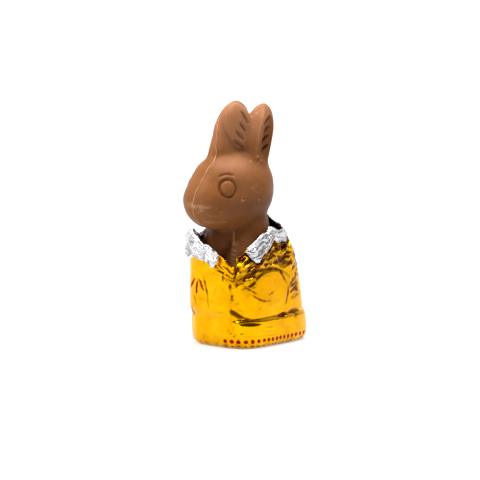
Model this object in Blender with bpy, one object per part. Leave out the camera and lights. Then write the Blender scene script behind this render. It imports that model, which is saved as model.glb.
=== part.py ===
"""Moulded milk chocolate rabbit, its gold foil wrapper peeled down to the shoulders.

The model is in metres with +Z up. The rabbit looks along -Y and its left side is +X.
The origin is the middle of the flat base that it stands on. The constants and the
form functions below are in millimetres, and make_object turns them into metres.
"""

import math

import bmesh
import bpy
import numpy as np
from mathutils import Matrix, Vector

MM = 0.001

# Head: ellipsoids given as centre and radii, which blend into each other
CRANIUM = ((0.0, -7.4, 70.0), (15.3, 17.9, 18.3))
MUZZLE = ((0.0, -21.8, 66.3), (12.9, 15.9, 13.0))
FOREHEAD = ((0.0, -17.6, 75.2), (11.9, 13.4, 10.4))
HEAD_BLEND = 8.0
FOREHEAD_BLEND = 4.0

# Ears: the front one and the rear one stand one behind the other, a little apart sideways
EAR_DEPTH_BELOW = 40.0
FRONT_EAR = ((-1.0, -10.2, 94.6), (5.4, 10.8, 14.5))
FRONT_EAR_LEAN = 0.2
FRONT_EAR_SPREAD = 0.26
REAR_EAR = ((4.5, 1.2, 93.0), (6.2, 7.7, 14.2))
REAR_EAR_LEAN = 0.26
EAR_STOCK_DROP = 12.0
EAR_ROOT_BLEND = 2.2

# Fillet between the ears at their tips and at their feet, and where it changes: the
# middle height and the width of the change
EAR_GAP_BLEND = (1.4, 4.2)
EAR_GAP_FADE = (96.0, 10.0)

# Raised pads on the left and right of the front ear, and the hollow in each side of the
# rear ear, given from the middle of the ear: place, radii, and the lean of the pads
LEFT_PAD = ((2.3, 1.0, 2.6), (5.3, 8.9, 11.6), -0.16)
RIGHT_PAD = ((-2.0, 2.4, 2.4), (4.8, 7.2, 10.8), 0.1)
PAD_BLEND = 1.2
HOLLOW = ((6.9, 0.8, -0.6), (3.4, 3.9, 11.6))
HOLLOW_BLEND = 0.8

# Strokes pressed into the ears: top and bottom of each as distance behind the ear's
# middle and height over it, then the radius of the groove
FRONT_STROKES = (
    ((0.1, 10.2), (3.4, 5.1)),
    ((-1.9, 5.6), (1.1, 2.1)),
    ((-3.0, 1.3), (0.2, -1.5)),
    ((-2.2, -3.7), (0.2, -5.5)),
)
REAR_STROKES = (
    ((3.2, 8.9), (-0.9, 5.5)),
    ((3.0, 4.3), (-1.1, 1.1)),
    ((2.6, 0.4), (-1.3, -2.7)),
    ((2.0, -3.8), (-1.4, -6.5)),
)
STROKE_RADIUS = 0.62

# Eyes: a ring groove round a raised disc, and a short brow groove above it
EYE_PLACE = (-25.9, 73.0)
EYE_RING_RADIUS = 3.75
EYE_GROOVE = 0.6
EYE_SINK = 0.45
BROW_RADIUS = 6.2
BROW_ARC = (60.0, 122.0)
BROW_GROOVE = 0.4
BROW_SINK = 0.8

# Neck and shoulders of the chocolate
NECK = ((0.0, -6.0), (12.4, 11.9))
NECK_FLARE = 0.2
NECK_FLARE_END = 45.0
NECK_TOP = 60.0
NECK_FOOT = 27.0
SHOULDER_TOP = 35.0
SHOULDER_BLEND = 5.0
THROAT_BLEND = 1.6
FORELEG_TOP = ((7.2, -13.8, 36.0), (6.4, 6.6, 13.5))
FORELEG_TILT = 0.22
FORELEG_BLEND = 1.2

# Body as the foil wraps it: height, half width, front, back, squareness of the plan
BODY = (
    (0.0, 18.2, 22.8, 24.6, 3.6),
    (5.0, 18.6, 23.4, 24.6, 4.0),
    (13.0, 18.6, 23.4, 23.4, 4.0),
    (17.0, 18.8, 25.2, 22.4, 4.0),
    (24.0, 18.9, 25.4, 20.8, 4.0),
    (34.0, 18.4, 25.8, 19.0, 4.0),
    (42.0, 17.8, 26.0, 16.0, 4.0),
    (48.0, 17.0, 25.6, 11.2, 3.8),
    (56.0, 13.4, 24.2, 8.0, 3.4),
)
BASE_ROUNDING = 1.8
CHOCOLATE_BASE_BLEND = 6.0

# Relief that the foil takes from the body under it: how far each form stands out, its
# edges in degrees from the front or as heights, and the widths over which they fade
FORELEG_RAISE = 0.9
FORELEG_EDGE = (26.0, 5.0)
FORELEG_HEIGHT = (33.0, 16.0)
FOOT_RAISE = 1.1
FOOT_FRONT = (29.0, 5.0)
FOOT_REAR = (148.0, 24.0)
FOOT_HEIGHT = (12.8, 1.6)

# Haunch: place as back and height, size as length and height. Tail: degrees from the
# front and height, then its half width in degrees and half height.
HAUNCH_RAISE = 1.3
HAUNCH = ((-4.6, 26.6), (13.4, 8.2))
HAUNCH_RIM = (0.9, 0.35)
TAIL_RAISE = 2.2
TAIL = ((180.0, 11.5), (13.0, 5.2))

# Foil wrapper: its solid is far thicker than real foil, so that it stays one sound body
FOIL_THICKNESS = 0.45
FOIL_CLEARANCE = 0.95
FOIL_COLUMNS = 84
FOIL_FIXED_HEIGHTS = (2.4, 5.6, 11.8, 13.4, 15.2)
FOIL_WALL_ROWS = 7
FOIL_FOLD_ROWS = 3
FOIL_FLAP_ROWS = 3
FOLD_RADIUS = 0.7

# Torn rim, by angle from the front towards the left side: height, flap length, flare
RIM = (
    (-180.0, 57.0, 4.0, 1.2),
    (-150.0, 55.5, 5.5, 1.2),
    (-118.0, 52.0, 7.5, 1.6),
    (-88.0, 51.5, 6.5, 1.9),
    (-58.0, 47.6, 8.0, 1.0),
    (-40.0, 48.6, 8.8, 0.7),
    (-25.0, 51.0, 9.6, 0.9),
    (-14.0, 49.4, 8.6, 1.1),
    (-5.0, 45.6, 6.8, 1.1),
    (6.0, 44.2, 7.2, 1.0),
    (14.0, 42.0, 2.6, 0.6),
    (22.0, 39.6, 1.4, 0.5),
    (29.0, 37.6, 1.2, 0.5),
    (36.0, 41.6, 1.4, 0.5),
    (43.0, 45.0, 3.0, 0.8),
    (54.0, 49.2, 9.0, 1.2),
    (75.0, 52.6, 7.6, 0.9),
    (105.0, 51.0, 5.2, 0.5),
    (125.0, 52.5, 3.8, 0.5),
    (150.0, 57.0, 3.8, 0.7),
    (180.0, 57.0, 4.0, 1.2),
)

# Waves of the torn edge: size in millimetres, waves round the rim, and phase
RIM_WAVES = ((0.45, 9, 0.6), (0.3, 17, 2.1))
FLAP_WAVES = ((0.16, 7, 1.2), (0.12, 13, 0.3), (0.08, 19, 2.6))

# Mesh sizes
VOXEL = 1.0
SETTLE_STEPS = 8
CHOCOLATE_SHARE = 0.102


def smooth_between(x, knots, values):
    """Cubic curve through the knots, without overshoot past the ends."""
    knots = np.asarray(knots, float)
    values = np.asarray(values, float)
    slope = np.gradient(values, knots)
    i = np.clip(np.searchsorted(knots, x) - 1, 0, len(knots) - 2)
    step = knots[i + 1] - knots[i]
    t = np.clip((x - knots[i]) / step, 0.0, 1.0)
    start = (1 + 2 * t) * (1 - t) ** 2 * values[i] + t * (1 - t) ** 2 * step * slope[i]
    end = t * t * (3 - 2 * t) * values[i + 1] + t * t * (t - 1) * step * slope[i + 1]
    return start + end


def soft_step(x, edge, width):
    """Goes from 0 to 1 as x passes the edge, over the width."""
    t = np.clip((x - edge) / width + 0.5, 0.0, 1.0)
    return t * t * (3 - 2 * t)


def soft_union(a, b, blend):
    """Joins two levels with a fillet of about the blend's size."""
    h = np.clip(0.5 + 0.5 * (b - a) / blend, 0.0, 1.0)
    return b * (1 - h) + a * h - blend * h * (1 - h)


def ellipsoid(points, centre, radii, lean=0.0, depth_below=None, spread=0.0):
    """Distance-like level of an ellipsoid, below zero inside it.

    lean shears it along Y with height. depth_below is its radius under the centre,
    and spread makes it deeper along Y towards its foot.
    """
    q = points - np.asarray(centre)
    q[:, 1] -= lean * q[:, 2]
    r = np.tile(np.asarray(radii, float), (len(q), 1))
    if depth_below is not None:
        r[:, 2] = np.where(q[:, 2] < 0, depth_below, r[:, 2])
        r[:, 1] += spread * np.clip(-q[:, 2], 0, None)
    a = np.linalg.norm(q / r, axis=1)
    b = np.linalg.norm(q / (r * r), axis=1) + 1e-9
    return a * (a - 1.0) / b


def beside(middle, offset, side):
    """Place at an offset from an ear's middle, on its left for side 1 or its right for -1."""
    return (middle[0] + side * offset[0], middle[1] + offset[1], middle[2] + offset[2])


def body_relief(angle, y, z):
    """Height of forelegs, hind feet, haunches and tail over the plain body."""
    turn = np.degrees(np.abs(angle))
    front = 1.0 - soft_step(turn, *FORELEG_EDGE)
    forelegs = FORELEG_RAISE * front * (1.0 - soft_step(z, *FORELEG_HEIGHT))
    foot_arc = soft_step(turn, *FOOT_FRONT) * (1.0 - soft_step(turn, *FOOT_REAR))
    feet = FOOT_RAISE * foot_arc * (1.0 - soft_step(z, *FOOT_HEIGHT))
    (haunch_y, haunch_z), (haunch_length, haunch_height) = HAUNCH
    reach = np.hypot((y - haunch_y) / haunch_length, (z - haunch_z) / haunch_height)
    haunches = HAUNCH_RAISE * (1.0 - soft_step(reach, *HAUNCH_RIM))
    (tail_turn, tail_z), (tail_width, tail_height) = TAIL
    tail_reach = np.hypot((tail_turn - turn) / tail_width, (z - tail_z) / tail_height)
    tail = TAIL_RAISE * np.sqrt(np.clip(1.0 - tail_reach ** 2, 0.0, 1.0))
    return forelegs + feet + haunches + tail


def body_radius(angle, z):
    """Distance from the upright axis to the foil's outer face, front at angle 0."""
    heights = [row[0] for row in BODY]
    width, front, back, square = (
        smooth_between(z, heights, [row[column] for row in BODY]) for column in (1, 2, 3, 4)
    )
    ahead = np.where(np.cos(angle) > 0, front, back)
    across = np.abs(np.sin(angle) / width) ** square
    along = np.abs(np.cos(angle) / ahead) ** square
    radius = (across + along) ** (-1.0 / square)
    return radius + body_relief(angle, -radius * np.cos(angle), z)


def torso_level(points):
    """Body under the foil, with neck and the tops of the forelegs."""
    x, y, z = points.T
    angle = np.arctan2(x, -y)
    reach = np.hypot(x, y)
    inset = FOIL_THICKNESS + FOIL_CLEARANCE
    body = reach - body_radius(angle, z) + inset
    body = -soft_union(-body, SHOULDER_TOP - z, SHOULDER_BLEND)
    body = -soft_union(-body, z - inset, CHOCOLATE_BASE_BLEND)
    (neck_x, neck_y), (neck_width, neck_depth) = NECK
    flare = NECK_FLARE * (NECK_TOP - np.clip(z, NECK_FLARE_END, NECK_TOP))
    across = (x - neck_x) / (neck_width + flare)
    along = (y - neck_y) / (neck_depth + flare)
    neck = (np.hypot(across, along) - 1.0) * neck_depth
    neck = np.maximum(np.maximum(neck, z - NECK_TOP), NECK_FOOT - z)
    torso = soft_union(body, neck, SHOULDER_BLEND)
    for side in (1, -1):
        centre, radii = FORELEG_TOP
        shifted = points - np.array((side * centre[0], centre[1], centre[2]))
        shifted[:, 0] -= side * FORELEG_TILT * shifted[:, 2]
        foreleg = ellipsoid(shifted, (0.0, 0.0, 0.0), radii)
        torso = soft_union(torso, foreleg, FORELEG_BLEND)
    return torso


def rabbit_level(points):
    """Level of the whole chocolate rabbit: below zero inside, above it outside."""
    head = soft_union(ellipsoid(points, *CRANIUM), ellipsoid(points, *MUZZLE), HEAD_BLEND)
    head = soft_union(head, ellipsoid(points, *FOREHEAD), FOREHEAD_BLEND)
    front_ear = ellipsoid(points, *FRONT_EAR, FRONT_EAR_LEAN, EAR_DEPTH_BELOW, FRONT_EAR_SPREAD)
    rear_ear = ellipsoid(points, *REAR_EAR, REAR_EAR_LEAN, EAR_DEPTH_BELOW)
    for offset, radii, lean in (LEFT_PAD, RIGHT_PAD):
        pad = ellipsoid(points, beside(FRONT_EAR[0], offset, 1), radii, lean)
        front_ear = soft_union(front_ear, pad, PAD_BLEND)
    for side in (1, -1):
        hollow = ellipsoid(points, beside(REAR_EAR[0], HOLLOW[0], side), HOLLOW[1], REAR_EAR_LEAN)
        rear_ear = -soft_union(-rear_ear, hollow, HOLLOW_BLEND)
    tip, foot = EAR_GAP_BLEND
    gap_blend = foot + (tip - foot) * soft_step(points[:, 2], *EAR_GAP_FADE)
    ears = soft_union(front_ear, rear_ear, gap_blend)
    top = soft_union(head, ears, EAR_ROOT_BLEND)
    return soft_union(top, torso_level(points), THROAT_BLEND)


def settle(points, level):
    """Moves points near the form onto its zero level by Newton's steps."""
    nudge = 0.05
    for _ in range(SETTLE_STEPS):
        value = level(points)
        slope = np.empty_like(points)
        for axis in range(3):
            offset = np.zeros(3)
            offset[axis] = nudge
            slope[:, axis] = (level(points + offset) - level(points - offset)) / (2 * nudge)
        size = np.maximum((slope ** 2).sum(axis=1), 0.1)
        points = points - np.clip(value / size, -1.5, 1.5)[:, None] * slope
    return points


def side_point(y, z, side):
    """Point of the chocolate's surface seen from the given side at y and z."""
    inner, outer = 0.0, 25.0
    for _ in range(40):
        middle = 0.5 * (inner + outer)
        inside = rabbit_level(np.array([[side * middle, y, z]]))[0] < 0
        inner, outer = (middle, outer) if inside else (inner, middle)
    return np.array((side * inner, y, z))


def surface_normal(point):
    """Unit normal of the chocolate's surface near the point."""
    nudge = 0.3
    ahead = rabbit_level(point + nudge * np.eye(3))
    behind = rabbit_level(point - nudge * np.eye(3))
    slope = ahead - behind
    return slope / np.linalg.norm(slope)


def make_object(name, points, faces):
    """Object with its mesh in metres from points in millimetres."""
    mesh = bpy.data.meshes.new(name)
    mesh.from_pydata((np.asarray(points) * MM).tolist(), [], faces)
    mesh.validate()
    obj = bpy.data.objects.new(name, mesh)
    bpy.context.collection.objects.link(obj)
    return obj


def bake(obj):
    """Replaces the object's mesh by what its modifiers make of it."""
    depsgraph = bpy.context.evaluated_depsgraph_get()
    mesh = bpy.data.meshes.new_from_object(obj.evaluated_get(depsgraph))
    obj.modifiers.clear()
    old = obj.data
    obj.data = mesh
    mesh.name = obj.name
    bpy.data.meshes.remove(old)


def add_blob(bm, centre, radii, lean=0.0):
    """Rough closed ball of the given radii, as stock for the remesh."""
    made = bmesh.ops.create_uvsphere(bm, u_segments=32, v_segments=16, radius=1.0)
    for vert in made["verts"]:
        x, y, z = (vert.co[i] * radii[i] for i in range(3))
        vert.co = ((centre[0] + x) * MM, (centre[1] + y + lean * z) * MM, (centre[2] + z) * MM)


def add_body_stock(bm):
    """Rough closed column of the body and the neck, as stock for the remesh."""
    turns = np.linspace(0, 2 * math.pi, 64, endpoint=False)
    inset = FOIL_THICKNESS + FOIL_CLEARANCE
    rings = []
    for z in np.linspace(inset, NECK_TOP - 4.0, 24):
        if z < SHOULDER_TOP:
            radius = body_radius(turns, np.full_like(turns, z)) - inset
            centre_y = 0.0
        else:
            radius = np.full_like(turns, NECK[1][1])
            centre_y = NECK[0][1]
        ring = [
            bm.verts.new((r * math.sin(t) * MM, (centre_y - r * math.cos(t)) * MM, z * MM))
            for r, t in zip(radius, turns)
        ]
        rings.append(ring)
    for low, high in zip(rings, rings[1:]):
        for i in range(len(turns)):
            j = (i + 1) % len(turns)
            bm.faces.new((low[i], low[j], high[j], high[i]))
    bm.faces.new(tuple(reversed(rings[0])))
    bm.faces.new(tuple(rings[-1]))


def arc_cutter(name, centre, normal, ring_radius, groove, start, end):
    """Round bar bent to an arc that lies square to the normal, for cutting a groove."""
    side = np.cross((0.0, 0.0, 1.0), normal)
    side /= np.linalg.norm(side)
    up = np.cross(normal, side)
    closed = end - start >= 360.0
    degrees_per_step = 9.0
    steps = max(int((end - start) / degrees_per_step), 6)
    sides = 8
    angles = np.radians(np.linspace(start, end, steps + (0 if closed else 1), endpoint=not closed))
    points = []
    for angle in angles:
        outward = math.cos(angle) * side + math.sin(angle) * up
        for k in range(sides):
            turn = 2 * math.pi * k / sides
            points.append(
                centre + (ring_radius + groove * math.cos(turn)) * outward + groove * math.sin(turn) * normal
            )
    faces = []
    rows = len(angles)
    for i in range(rows if closed else rows - 1):
        for k in range(sides):
            a = i * sides + k
            b = i * sides + (k + 1) % sides
            c = (i + 1) % rows * sides + (k + 1) % sides
            d = (i + 1) % rows * sides + k
            faces.append((a, b, c, d))
    if not closed:
        faces.append(tuple(range(sides - 1, -1, -1)))
        faces.append(tuple((rows - 1) * sides + k for k in range(sides)))
    cutter = make_object(name, points, faces)
    bm = bmesh.new()
    bm.from_mesh(cutter.data)
    bmesh.ops.recalc_face_normals(bm, faces=bm.faces)
    bm.to_mesh(cutter.data)
    bm.free()
    return cutter


def cut(target, cutters):
    """Takes the cutters out of the target and removes them."""
    for cutter in cutters:
        boolean = target.modifiers.new("groove", "BOOLEAN")
        boolean.operation = "DIFFERENCE"
        boolean.solver = "EXACT"
        boolean.object = cutter
        bake(target)
        mesh = cutter.data
        bpy.data.objects.remove(cutter)
        bpy.data.meshes.remove(mesh)


def eye_cutters():
    """Grooves of the eye ring and the brow on both sides of the head."""
    cutters = []
    for side in (1, -1):
        spot = side_point(EYE_PLACE[0], EYE_PLACE[1], side)
        normal = surface_normal(spot)
        ring = spot - EYE_SINK * normal
        brow = spot - BROW_SINK * normal
        cutters.append(arc_cutter("eye_ring", ring, normal, EYE_RING_RADIUS, EYE_GROOVE, 0.0, 360.0))
        cutters.append(arc_cutter("brow", brow, normal, BROW_RADIUS, BROW_GROOVE, *BROW_ARC))
    return cutters


def stroke_cutters():
    """Slim spindles along the strokes on both sides of both ears."""
    cutters = []
    for middle, strokes in ((FRONT_EAR[0], FRONT_STROKES), (REAR_EAR[0], REAR_STROKES)):
        for side in (1, -1):
            for top, bottom in strokes:
                ends = [
                    side_point(middle[1] + back, middle[2] + height, side) for back, height in (top, bottom)
                ]
                cutters.append(spindle("ear_stroke", ends[0], ends[1], STROKE_RADIUS))
    return cutters


def spindle(name, start, end, radius):
    """Closed ball stretched from start to end."""
    along = Vector(end - start)
    bm = bmesh.new()
    bmesh.ops.create_uvsphere(bm, u_segments=8, v_segments=6, radius=1.0)
    turn = along.to_track_quat("Z", "Y").to_matrix().to_4x4()
    size = Matrix.Diagonal((radius, radius, 0.5 * along.length + radius, 1.0))
    middle = Matrix.Translation(Vector(0.5 * (start + end)) * MM)
    bm.transform(middle @ turn @ Matrix.Scale(MM, 4) @ size)
    mesh = bpy.data.meshes.new(name)
    bm.to_mesh(mesh)
    bm.free()
    obj = bpy.data.objects.new(name, mesh)
    bpy.context.collection.objects.link(obj)
    return obj


def build_chocolate():
    """Solid rabbit: rough stock, remeshed, settled on the form and thinned out."""
    bm = bmesh.new()
    for blob in (CRANIUM, MUZZLE, FOREHEAD):
        add_blob(bm, *blob)
    for centre, radii, lean in ((*FRONT_EAR, FRONT_EAR_LEAN), (*REAR_EAR, REAR_EAR_LEAN)):
        foot = (centre[0], centre[1] - lean * EAR_STOCK_DROP, centre[2] - EAR_STOCK_DROP)
        add_blob(bm, centre, radii, lean)
        add_blob(bm, foot, radii, lean)
    add_body_stock(bm)
    mesh = bpy.data.meshes.new("chocolate_bunny")
    bm.to_mesh(mesh)
    bm.free()
    obj = bpy.data.objects.new("chocolate_bunny", mesh)
    bpy.context.collection.objects.link(obj)
    remesh = obj.modifiers.new("even_mesh", "REMESH")
    remesh.mode = "VOXEL"
    remesh.voxel_size = VOXEL * MM
    bake(obj)
    points = np.array([v.co for v in obj.data.vertices]) / MM
    points = settle(points, rabbit_level)
    obj.data.vertices.foreach_set("co", (points * MM).ravel())
    obj.data.update()
    relax = obj.modifiers.new("even_out", "SMOOTH")
    relax.factor = 0.4
    relax.iterations = 2
    bake(obj)
    thin = obj.modifiers.new("fewer_faces", "DECIMATE")
    thin.ratio = CHOCOLATE_SHARE
    bake(obj)
    cut(obj, eye_cutters() + stroke_cutters())
    return obj


def waves(angle, parts):
    """Sum of sine waves round the rim."""
    return sum(size * np.sin(count * angle + phase) for size, count, phase in parts)


def rim_at(angle):
    """Height, flap length and flare of the torn rim at the angles."""
    turns = [row[0] for row in RIM]
    turn = np.degrees((angle + math.pi) % (2 * math.pi) - math.pi)
    height, flap, flare = (np.interp(turn, turns, [row[column] for row in RIM]) for column in (1, 2, 3))
    return height + waves(angle, RIM_WAVES), flap * (1.0 + waves(angle, FLAP_WAVES)), flare


def foil_grid():
    """Rows of points of the foil's gold face, from the base up and over the rim."""
    turns = np.linspace(-math.pi, math.pi, FOIL_COLUMNS, endpoint=False)
    height, flap, flare = rim_at(turns)
    rows = []

    def add(radius, z):
        rows.append(np.column_stack((radius * np.sin(turns), -radius * np.cos(turns), z)))

    base = np.zeros_like(turns)
    add(body_radius(turns, base) - BASE_ROUNDING, base)
    add(body_radius(turns, base + 1.0) - 0.55 * BASE_ROUNDING, base + 0.3 * BASE_ROUNDING)
    for z in FOIL_FIXED_HEIGHTS:
        add(body_radius(turns, base + z), base + z)
    low = FOIL_FIXED_HEIGHTS[-1]
    for k in range(1, FOIL_WALL_ROWS + 1):
        z = low + (height - low) * k / FOIL_WALL_ROWS
        add(body_radius(turns, z), z)
    rim_radius = body_radius(turns, height)
    for k in range(1, FOIL_FOLD_ROWS + 1):
        bend = math.pi * k / (FOIL_FOLD_ROWS + 1)
        add(
            rim_radius + FOLD_RADIUS * (1 - math.cos(bend)),
            height + FOLD_RADIUS * math.sin(bend),
        )
    for k in range(FOIL_FLAP_ROWS + 1):
        part = k / FOIL_FLAP_ROWS
        add(rim_radius + 2 * FOLD_RADIUS + flare * part ** 0.7, height - flap * part)
    return rows


def build_foil():
    """Thin closed shell: the gold face as a grid, thickened towards the chocolate."""
    rows = foil_grid()
    columns = FOIL_COLUMNS
    faces = [tuple(range(columns - 1, -1, -1))]
    for r in range(len(rows) - 1):
        for c in range(columns):
            d = (c + 1) % columns
            low, high = r * columns, (r + 1) * columns
            faces.append((low + c, low + d, high + d))
            faces.append((low + c, high + d, high + c))
    obj = make_object("foil_wrapper", np.concatenate(rows), faces)
    wall = obj.modifiers.new("foil_thickness", "SOLIDIFY")
    wall.thickness = FOIL_THICKNESS * MM
    wall.offset = -1.0
    wall.use_even_offset = True
    return obj


def principled(name, color, roughness, metallic):
    material = bpy.data.materials.new(name)
    material.use_nodes = True
    shader = material.node_tree.nodes["Principled BSDF"]
    shader.inputs["Base Color"].default_value = (*color, 1.0)
    shader.inputs["Roughness"].default_value = roughness
    shader.inputs["Metallic"].default_value = metallic
    material.diffuse_color = (*color, 1.0)
    return material


def finish_surface(obj, material):
    obj.data.materials.clear()
    obj.data.materials.append(material)
    obj.data.shade_smooth()
    obj.data.set_sharp_from_angle(angle=math.radians(40.0))


def main():
    for old in list(bpy.data.objects):
        bpy.data.objects.remove(old)
    chocolate = build_chocolate()
    foil = build_foil()
    finish_surface(chocolate, principled("milk_chocolate", (0.25, 0.085, 0.032), 0.42, 0.0))
    finish_surface(foil, principled("gold_foil", (0.9, 0.55, 0.03), 0.22, 1.0))


main()
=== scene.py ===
"""Looks of the chocolate bunny: moulded milk chocolate, its gold foil wrapper peeled down.

The forms are worked out in millimetres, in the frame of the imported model, and MM turns them
into metres. The rabbit looks along -Y and its left side is +X.
"""

import math

import bmesh
import bpy
import numpy as np
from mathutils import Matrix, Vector


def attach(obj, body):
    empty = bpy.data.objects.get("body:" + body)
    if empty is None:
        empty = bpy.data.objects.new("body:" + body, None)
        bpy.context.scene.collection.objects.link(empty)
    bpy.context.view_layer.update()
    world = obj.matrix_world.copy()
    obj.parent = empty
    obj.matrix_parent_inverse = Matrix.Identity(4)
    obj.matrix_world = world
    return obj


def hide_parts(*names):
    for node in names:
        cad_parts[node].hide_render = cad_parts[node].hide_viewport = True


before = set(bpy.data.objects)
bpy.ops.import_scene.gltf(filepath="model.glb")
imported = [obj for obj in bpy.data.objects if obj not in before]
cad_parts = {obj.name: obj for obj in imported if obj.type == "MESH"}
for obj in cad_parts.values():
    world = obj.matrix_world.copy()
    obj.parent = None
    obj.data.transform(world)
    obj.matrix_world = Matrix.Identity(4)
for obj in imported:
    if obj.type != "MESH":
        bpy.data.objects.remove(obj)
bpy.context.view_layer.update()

MM = 0.001

# Head and ears: ellipsoids given as centre and radii, the fillets that blend them, and each
# ear's radius below its middle, how far it leans back and how it widens downwards
CRANIUM = ((0.0, -7.4, 70.0), (15.3, 17.9, 18.3))
MUZZLE = ((0.0, -21.8, 66.3), (12.9, 15.9, 13.0))
FOREHEAD = ((0.0, -17.6, 75.2), (11.9, 13.4, 10.4))
HEAD_BLEND = 8.0
FOREHEAD_BLEND = 4.0
EAR_DEPTH_BELOW = 40.0
FRONT_EAR = ((-1.0, -10.2, 94.6), (5.4, 10.8, 14.5))
FRONT_EAR_LEAN = 0.2
FRONT_EAR_SPREAD = 0.26
REAR_EAR = ((4.5, 1.2, 93.0), (6.2, 7.7, 14.2))
REAR_EAR_LEAN = 0.26
EAR_STOCK_DROP = 12.0
EAR_GAP_BLEND = (1.4, 4.2)
EAR_GAP_FADE = (96.0, 10.0)
EAR_ROOT_BLEND = 2.2
LEFT_PAD = ((2.3, 1.0, 2.6), (5.3, 8.9, 11.6), -0.16)
RIGHT_PAD = ((-2.0, 2.4, 2.4), (4.8, 7.2, 10.8), 0.1)
PAD_BLEND = 1.2
HOLLOW = ((6.9, 0.8, -0.6), (3.4, 3.9, 11.6))
HOLLOW_BLEND = 0.8

# Strokes pressed into the ears, as distance behind the ear's middle and height over it
FRONT_STROKES = (
    ((0.1, 10.2), (3.4, 5.1)),
    ((-1.9, 5.6), (1.1, 2.1)),
    ((-3.8, 2.2), (0.3, -1.6)),
    ((-4, -2), (0.5, -5.2)),
)
REAR_STROKES = (
    ((3.2, 8.9), (-0.9, 5.5)),
    ((3, 4.3), (-1.1, 1.1)),
    ((2.6, 0.4), (-1.3, -2.7)),
    ((2, -3.8), (-1.4, -6.5)),
)

# A stroke's depth, half width, strength of the painted shade in it and the thinness of its ends,
# then the height of the lip beside it, with the lip's place and half width in half widths of the stroke
STROKE = (1.25, 0.64, 1.5, 0.45)
STROKE_LIP = (0.12, 1.9, 0.7)

# Groove round the pads: depth, half width, strength of the painted shade in it and how softly it
# ends at the front, and how far that end moves forward for each millimetre downwards
PAD_RIM = (0.4, 0.9, 0.45, 4.0)
PAD_RIM_SLANT = 0.55

# How much painted light or painted shade the chocolate gets, with a painted sheen on the crown, and the soft
# edges of where each falls
PAD_PAINTED_LIGHT = 0.42
PAD_EDGE = (0.35, 0.5)
REAR_TIP_SHARE = 0.8
REAR_TIP = (92.0, 12.0)
HOLLOW_PAINTED_SHADE = -0.22
HOLLOW_EDGE = (0.5, 1.0)
CHEEK_PAINTED_SHADE = -0.34
CHEEK = ((58.5, 67.0, 7.0), (-27.0, 12.0))
JAW_PAINTED_SHADOW = -0.2
JAW_SHADOW = 3.0
JAW_EDGE = (0.3, 1.2)
NECK_PAINTED_SHADE = -0.26
NECK_SHADE_TOP = (58.5, 6.0)
FAR_NECK_PAINTED_SHADOW = -0.75
FAR_NECK = ((7.5, 5.0), (57.0, 6.0))
THROAT_PAINTED_SHADE = -0.16
THROAT = ((6.5, 3.0), (51.0, 7.0))
CROWN_SHEEN = ((10.5, -17.0, 83.0), 7.0, 0.42)

# Eyes and brows: place along Y and Z, then radius, depth, half width and painted shade of a
# groove, radius and height of the disc, the brow's arc in degrees, and how deep all this reaches
EYE_PLACE = (-25.9, 73.0)
EYE_RING = (3.9, 0.9, 0.62, 0.45)
EYE_DISC = (3.3, 0.6)
BROW = (6.3, 0.6, 0.55, 0.4)
BROW_ARC = (60.0, 122.0, 22.0)
EYE_REACH = 6.0

# Neck, shoulders and forelegs
NECK = ((0.0, -6.0), (12.4, 11.9))
NECK_FLARE = 0.2
NECK_FLARE_END = 45.0
NECK_TOP = 60.0
NECK_FOOT = 27.0
SHOULDER_TOP = 35.0
SHOULDER_BLEND = 5.0
THROAT_BLEND = 1.6
FORELEG_TOP = ((7.2, -13.8, 36.0), (6.4, 6.6, 13.5))
FORELEG_TILT = 0.22
FORELEG_BLEND = 2.6

# Body as the foil wraps it: height, half width, front, back, squareness of the plan
BODY = (
    (0, 18.2, 22.8, 24.6, 3.6),
    (5, 18.6, 23.3, 24.6, 4),
    (9, 18.6, 23.5, 24.2, 4),
    (13, 18.6, 23.7, 23.4, 4),
    (17, 18.8, 25.2, 22.4, 4),
    (24, 18.9, 25.4, 20.8, 4),
    (34, 18.4, 25.8, 19, 4),
    (42, 17.8, 26, 16, 4),
    (48, 17, 25.6, 11.2, 3.8),
    (56, 13.4, 24.2, 8, 3.4),
)

# Rounding of the foil's foot and of the chocolate's, and how far the chocolate is inside the foil
BASE_ROUNDING = 1.8
CHOCOLATE_BASE_BLEND = 6.0
BODY_INSET = 1.4

# Relief that the foil takes from the body under it: how high it is, then its edges or its
# middle and size, in degrees round the foil or in millimetres
FORELEG_RAISE = 0.9
FORELEG_EDGE = (26.0, 5.0)
FORELEG_HEIGHT = (33.0, 16.0)
FOOT_RAISE = 1.1
FOOT_FRONT = (29.0, 13.0)
RIGHT_FOOT_FRONT = (-40.0, 22.0)
FOOT_REAR = (148.0, 24.0)
FOOT_HEIGHT = (12.8, 1.6)
HAUNCH_RAISE = 0.3
HAUNCH = ((-4.6, 26.6), (13.4, 8.2))
HAUNCH_RIM = (0.95, 0.16)
TAIL_RAISE = 2.2
TAIL = ((180.0, 11.5), (13.0, 5.2))

# Torn rim, by angle from the front towards the left side: height, flap length, flare
RIM = (
    (-180, 57, 4, 1.2),
    (-150, 55.5, 5.5, 1.2),
    (-118, 52, 7.5, 1.4),
    (-88, 51.5, 6.5, 1.6),
    (-58, 47.6, 8, 0.75),
    (-40, 48.6, 9, 0.7),
    (-25, 51, 10.7, 0.9),
    (-14, 49.4, 9.3, 1.1),
    (-5, 45.6, 6.3, 1.1),
    (0, 44.9, 5.6, 1.1),
    (6, 44.2, 6.8, 1),
    (14, 42, 2.6, 0.6),
    (22, 39.6, 1.4, 0.5),
    (27, 37.8, 1.2, 0.5),
    (28.8, 38.2, 1.2, 0.5),
    (31, 42.2, 1.4, 0.5),
    (36, 42.6, 1.4, 0.5),
    (43, 45, 3.4, 0.8),
    (46, 46.1, 6.4, 1),
    (50, 47.7, 8.3, 1.1),
    (55, 49.4, 9.4, 1.2),
    (64, 50.8, 7.6, 1.1),
    (78, 52.4, 6.7, 0.9),
    (105, 51, 4.6, 0.5),
    (125, 52.5, 3.8, 0.5),
    (150, 57, 3.8, 0.7),
    (180, 57, 4, 1.2),
)

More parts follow.
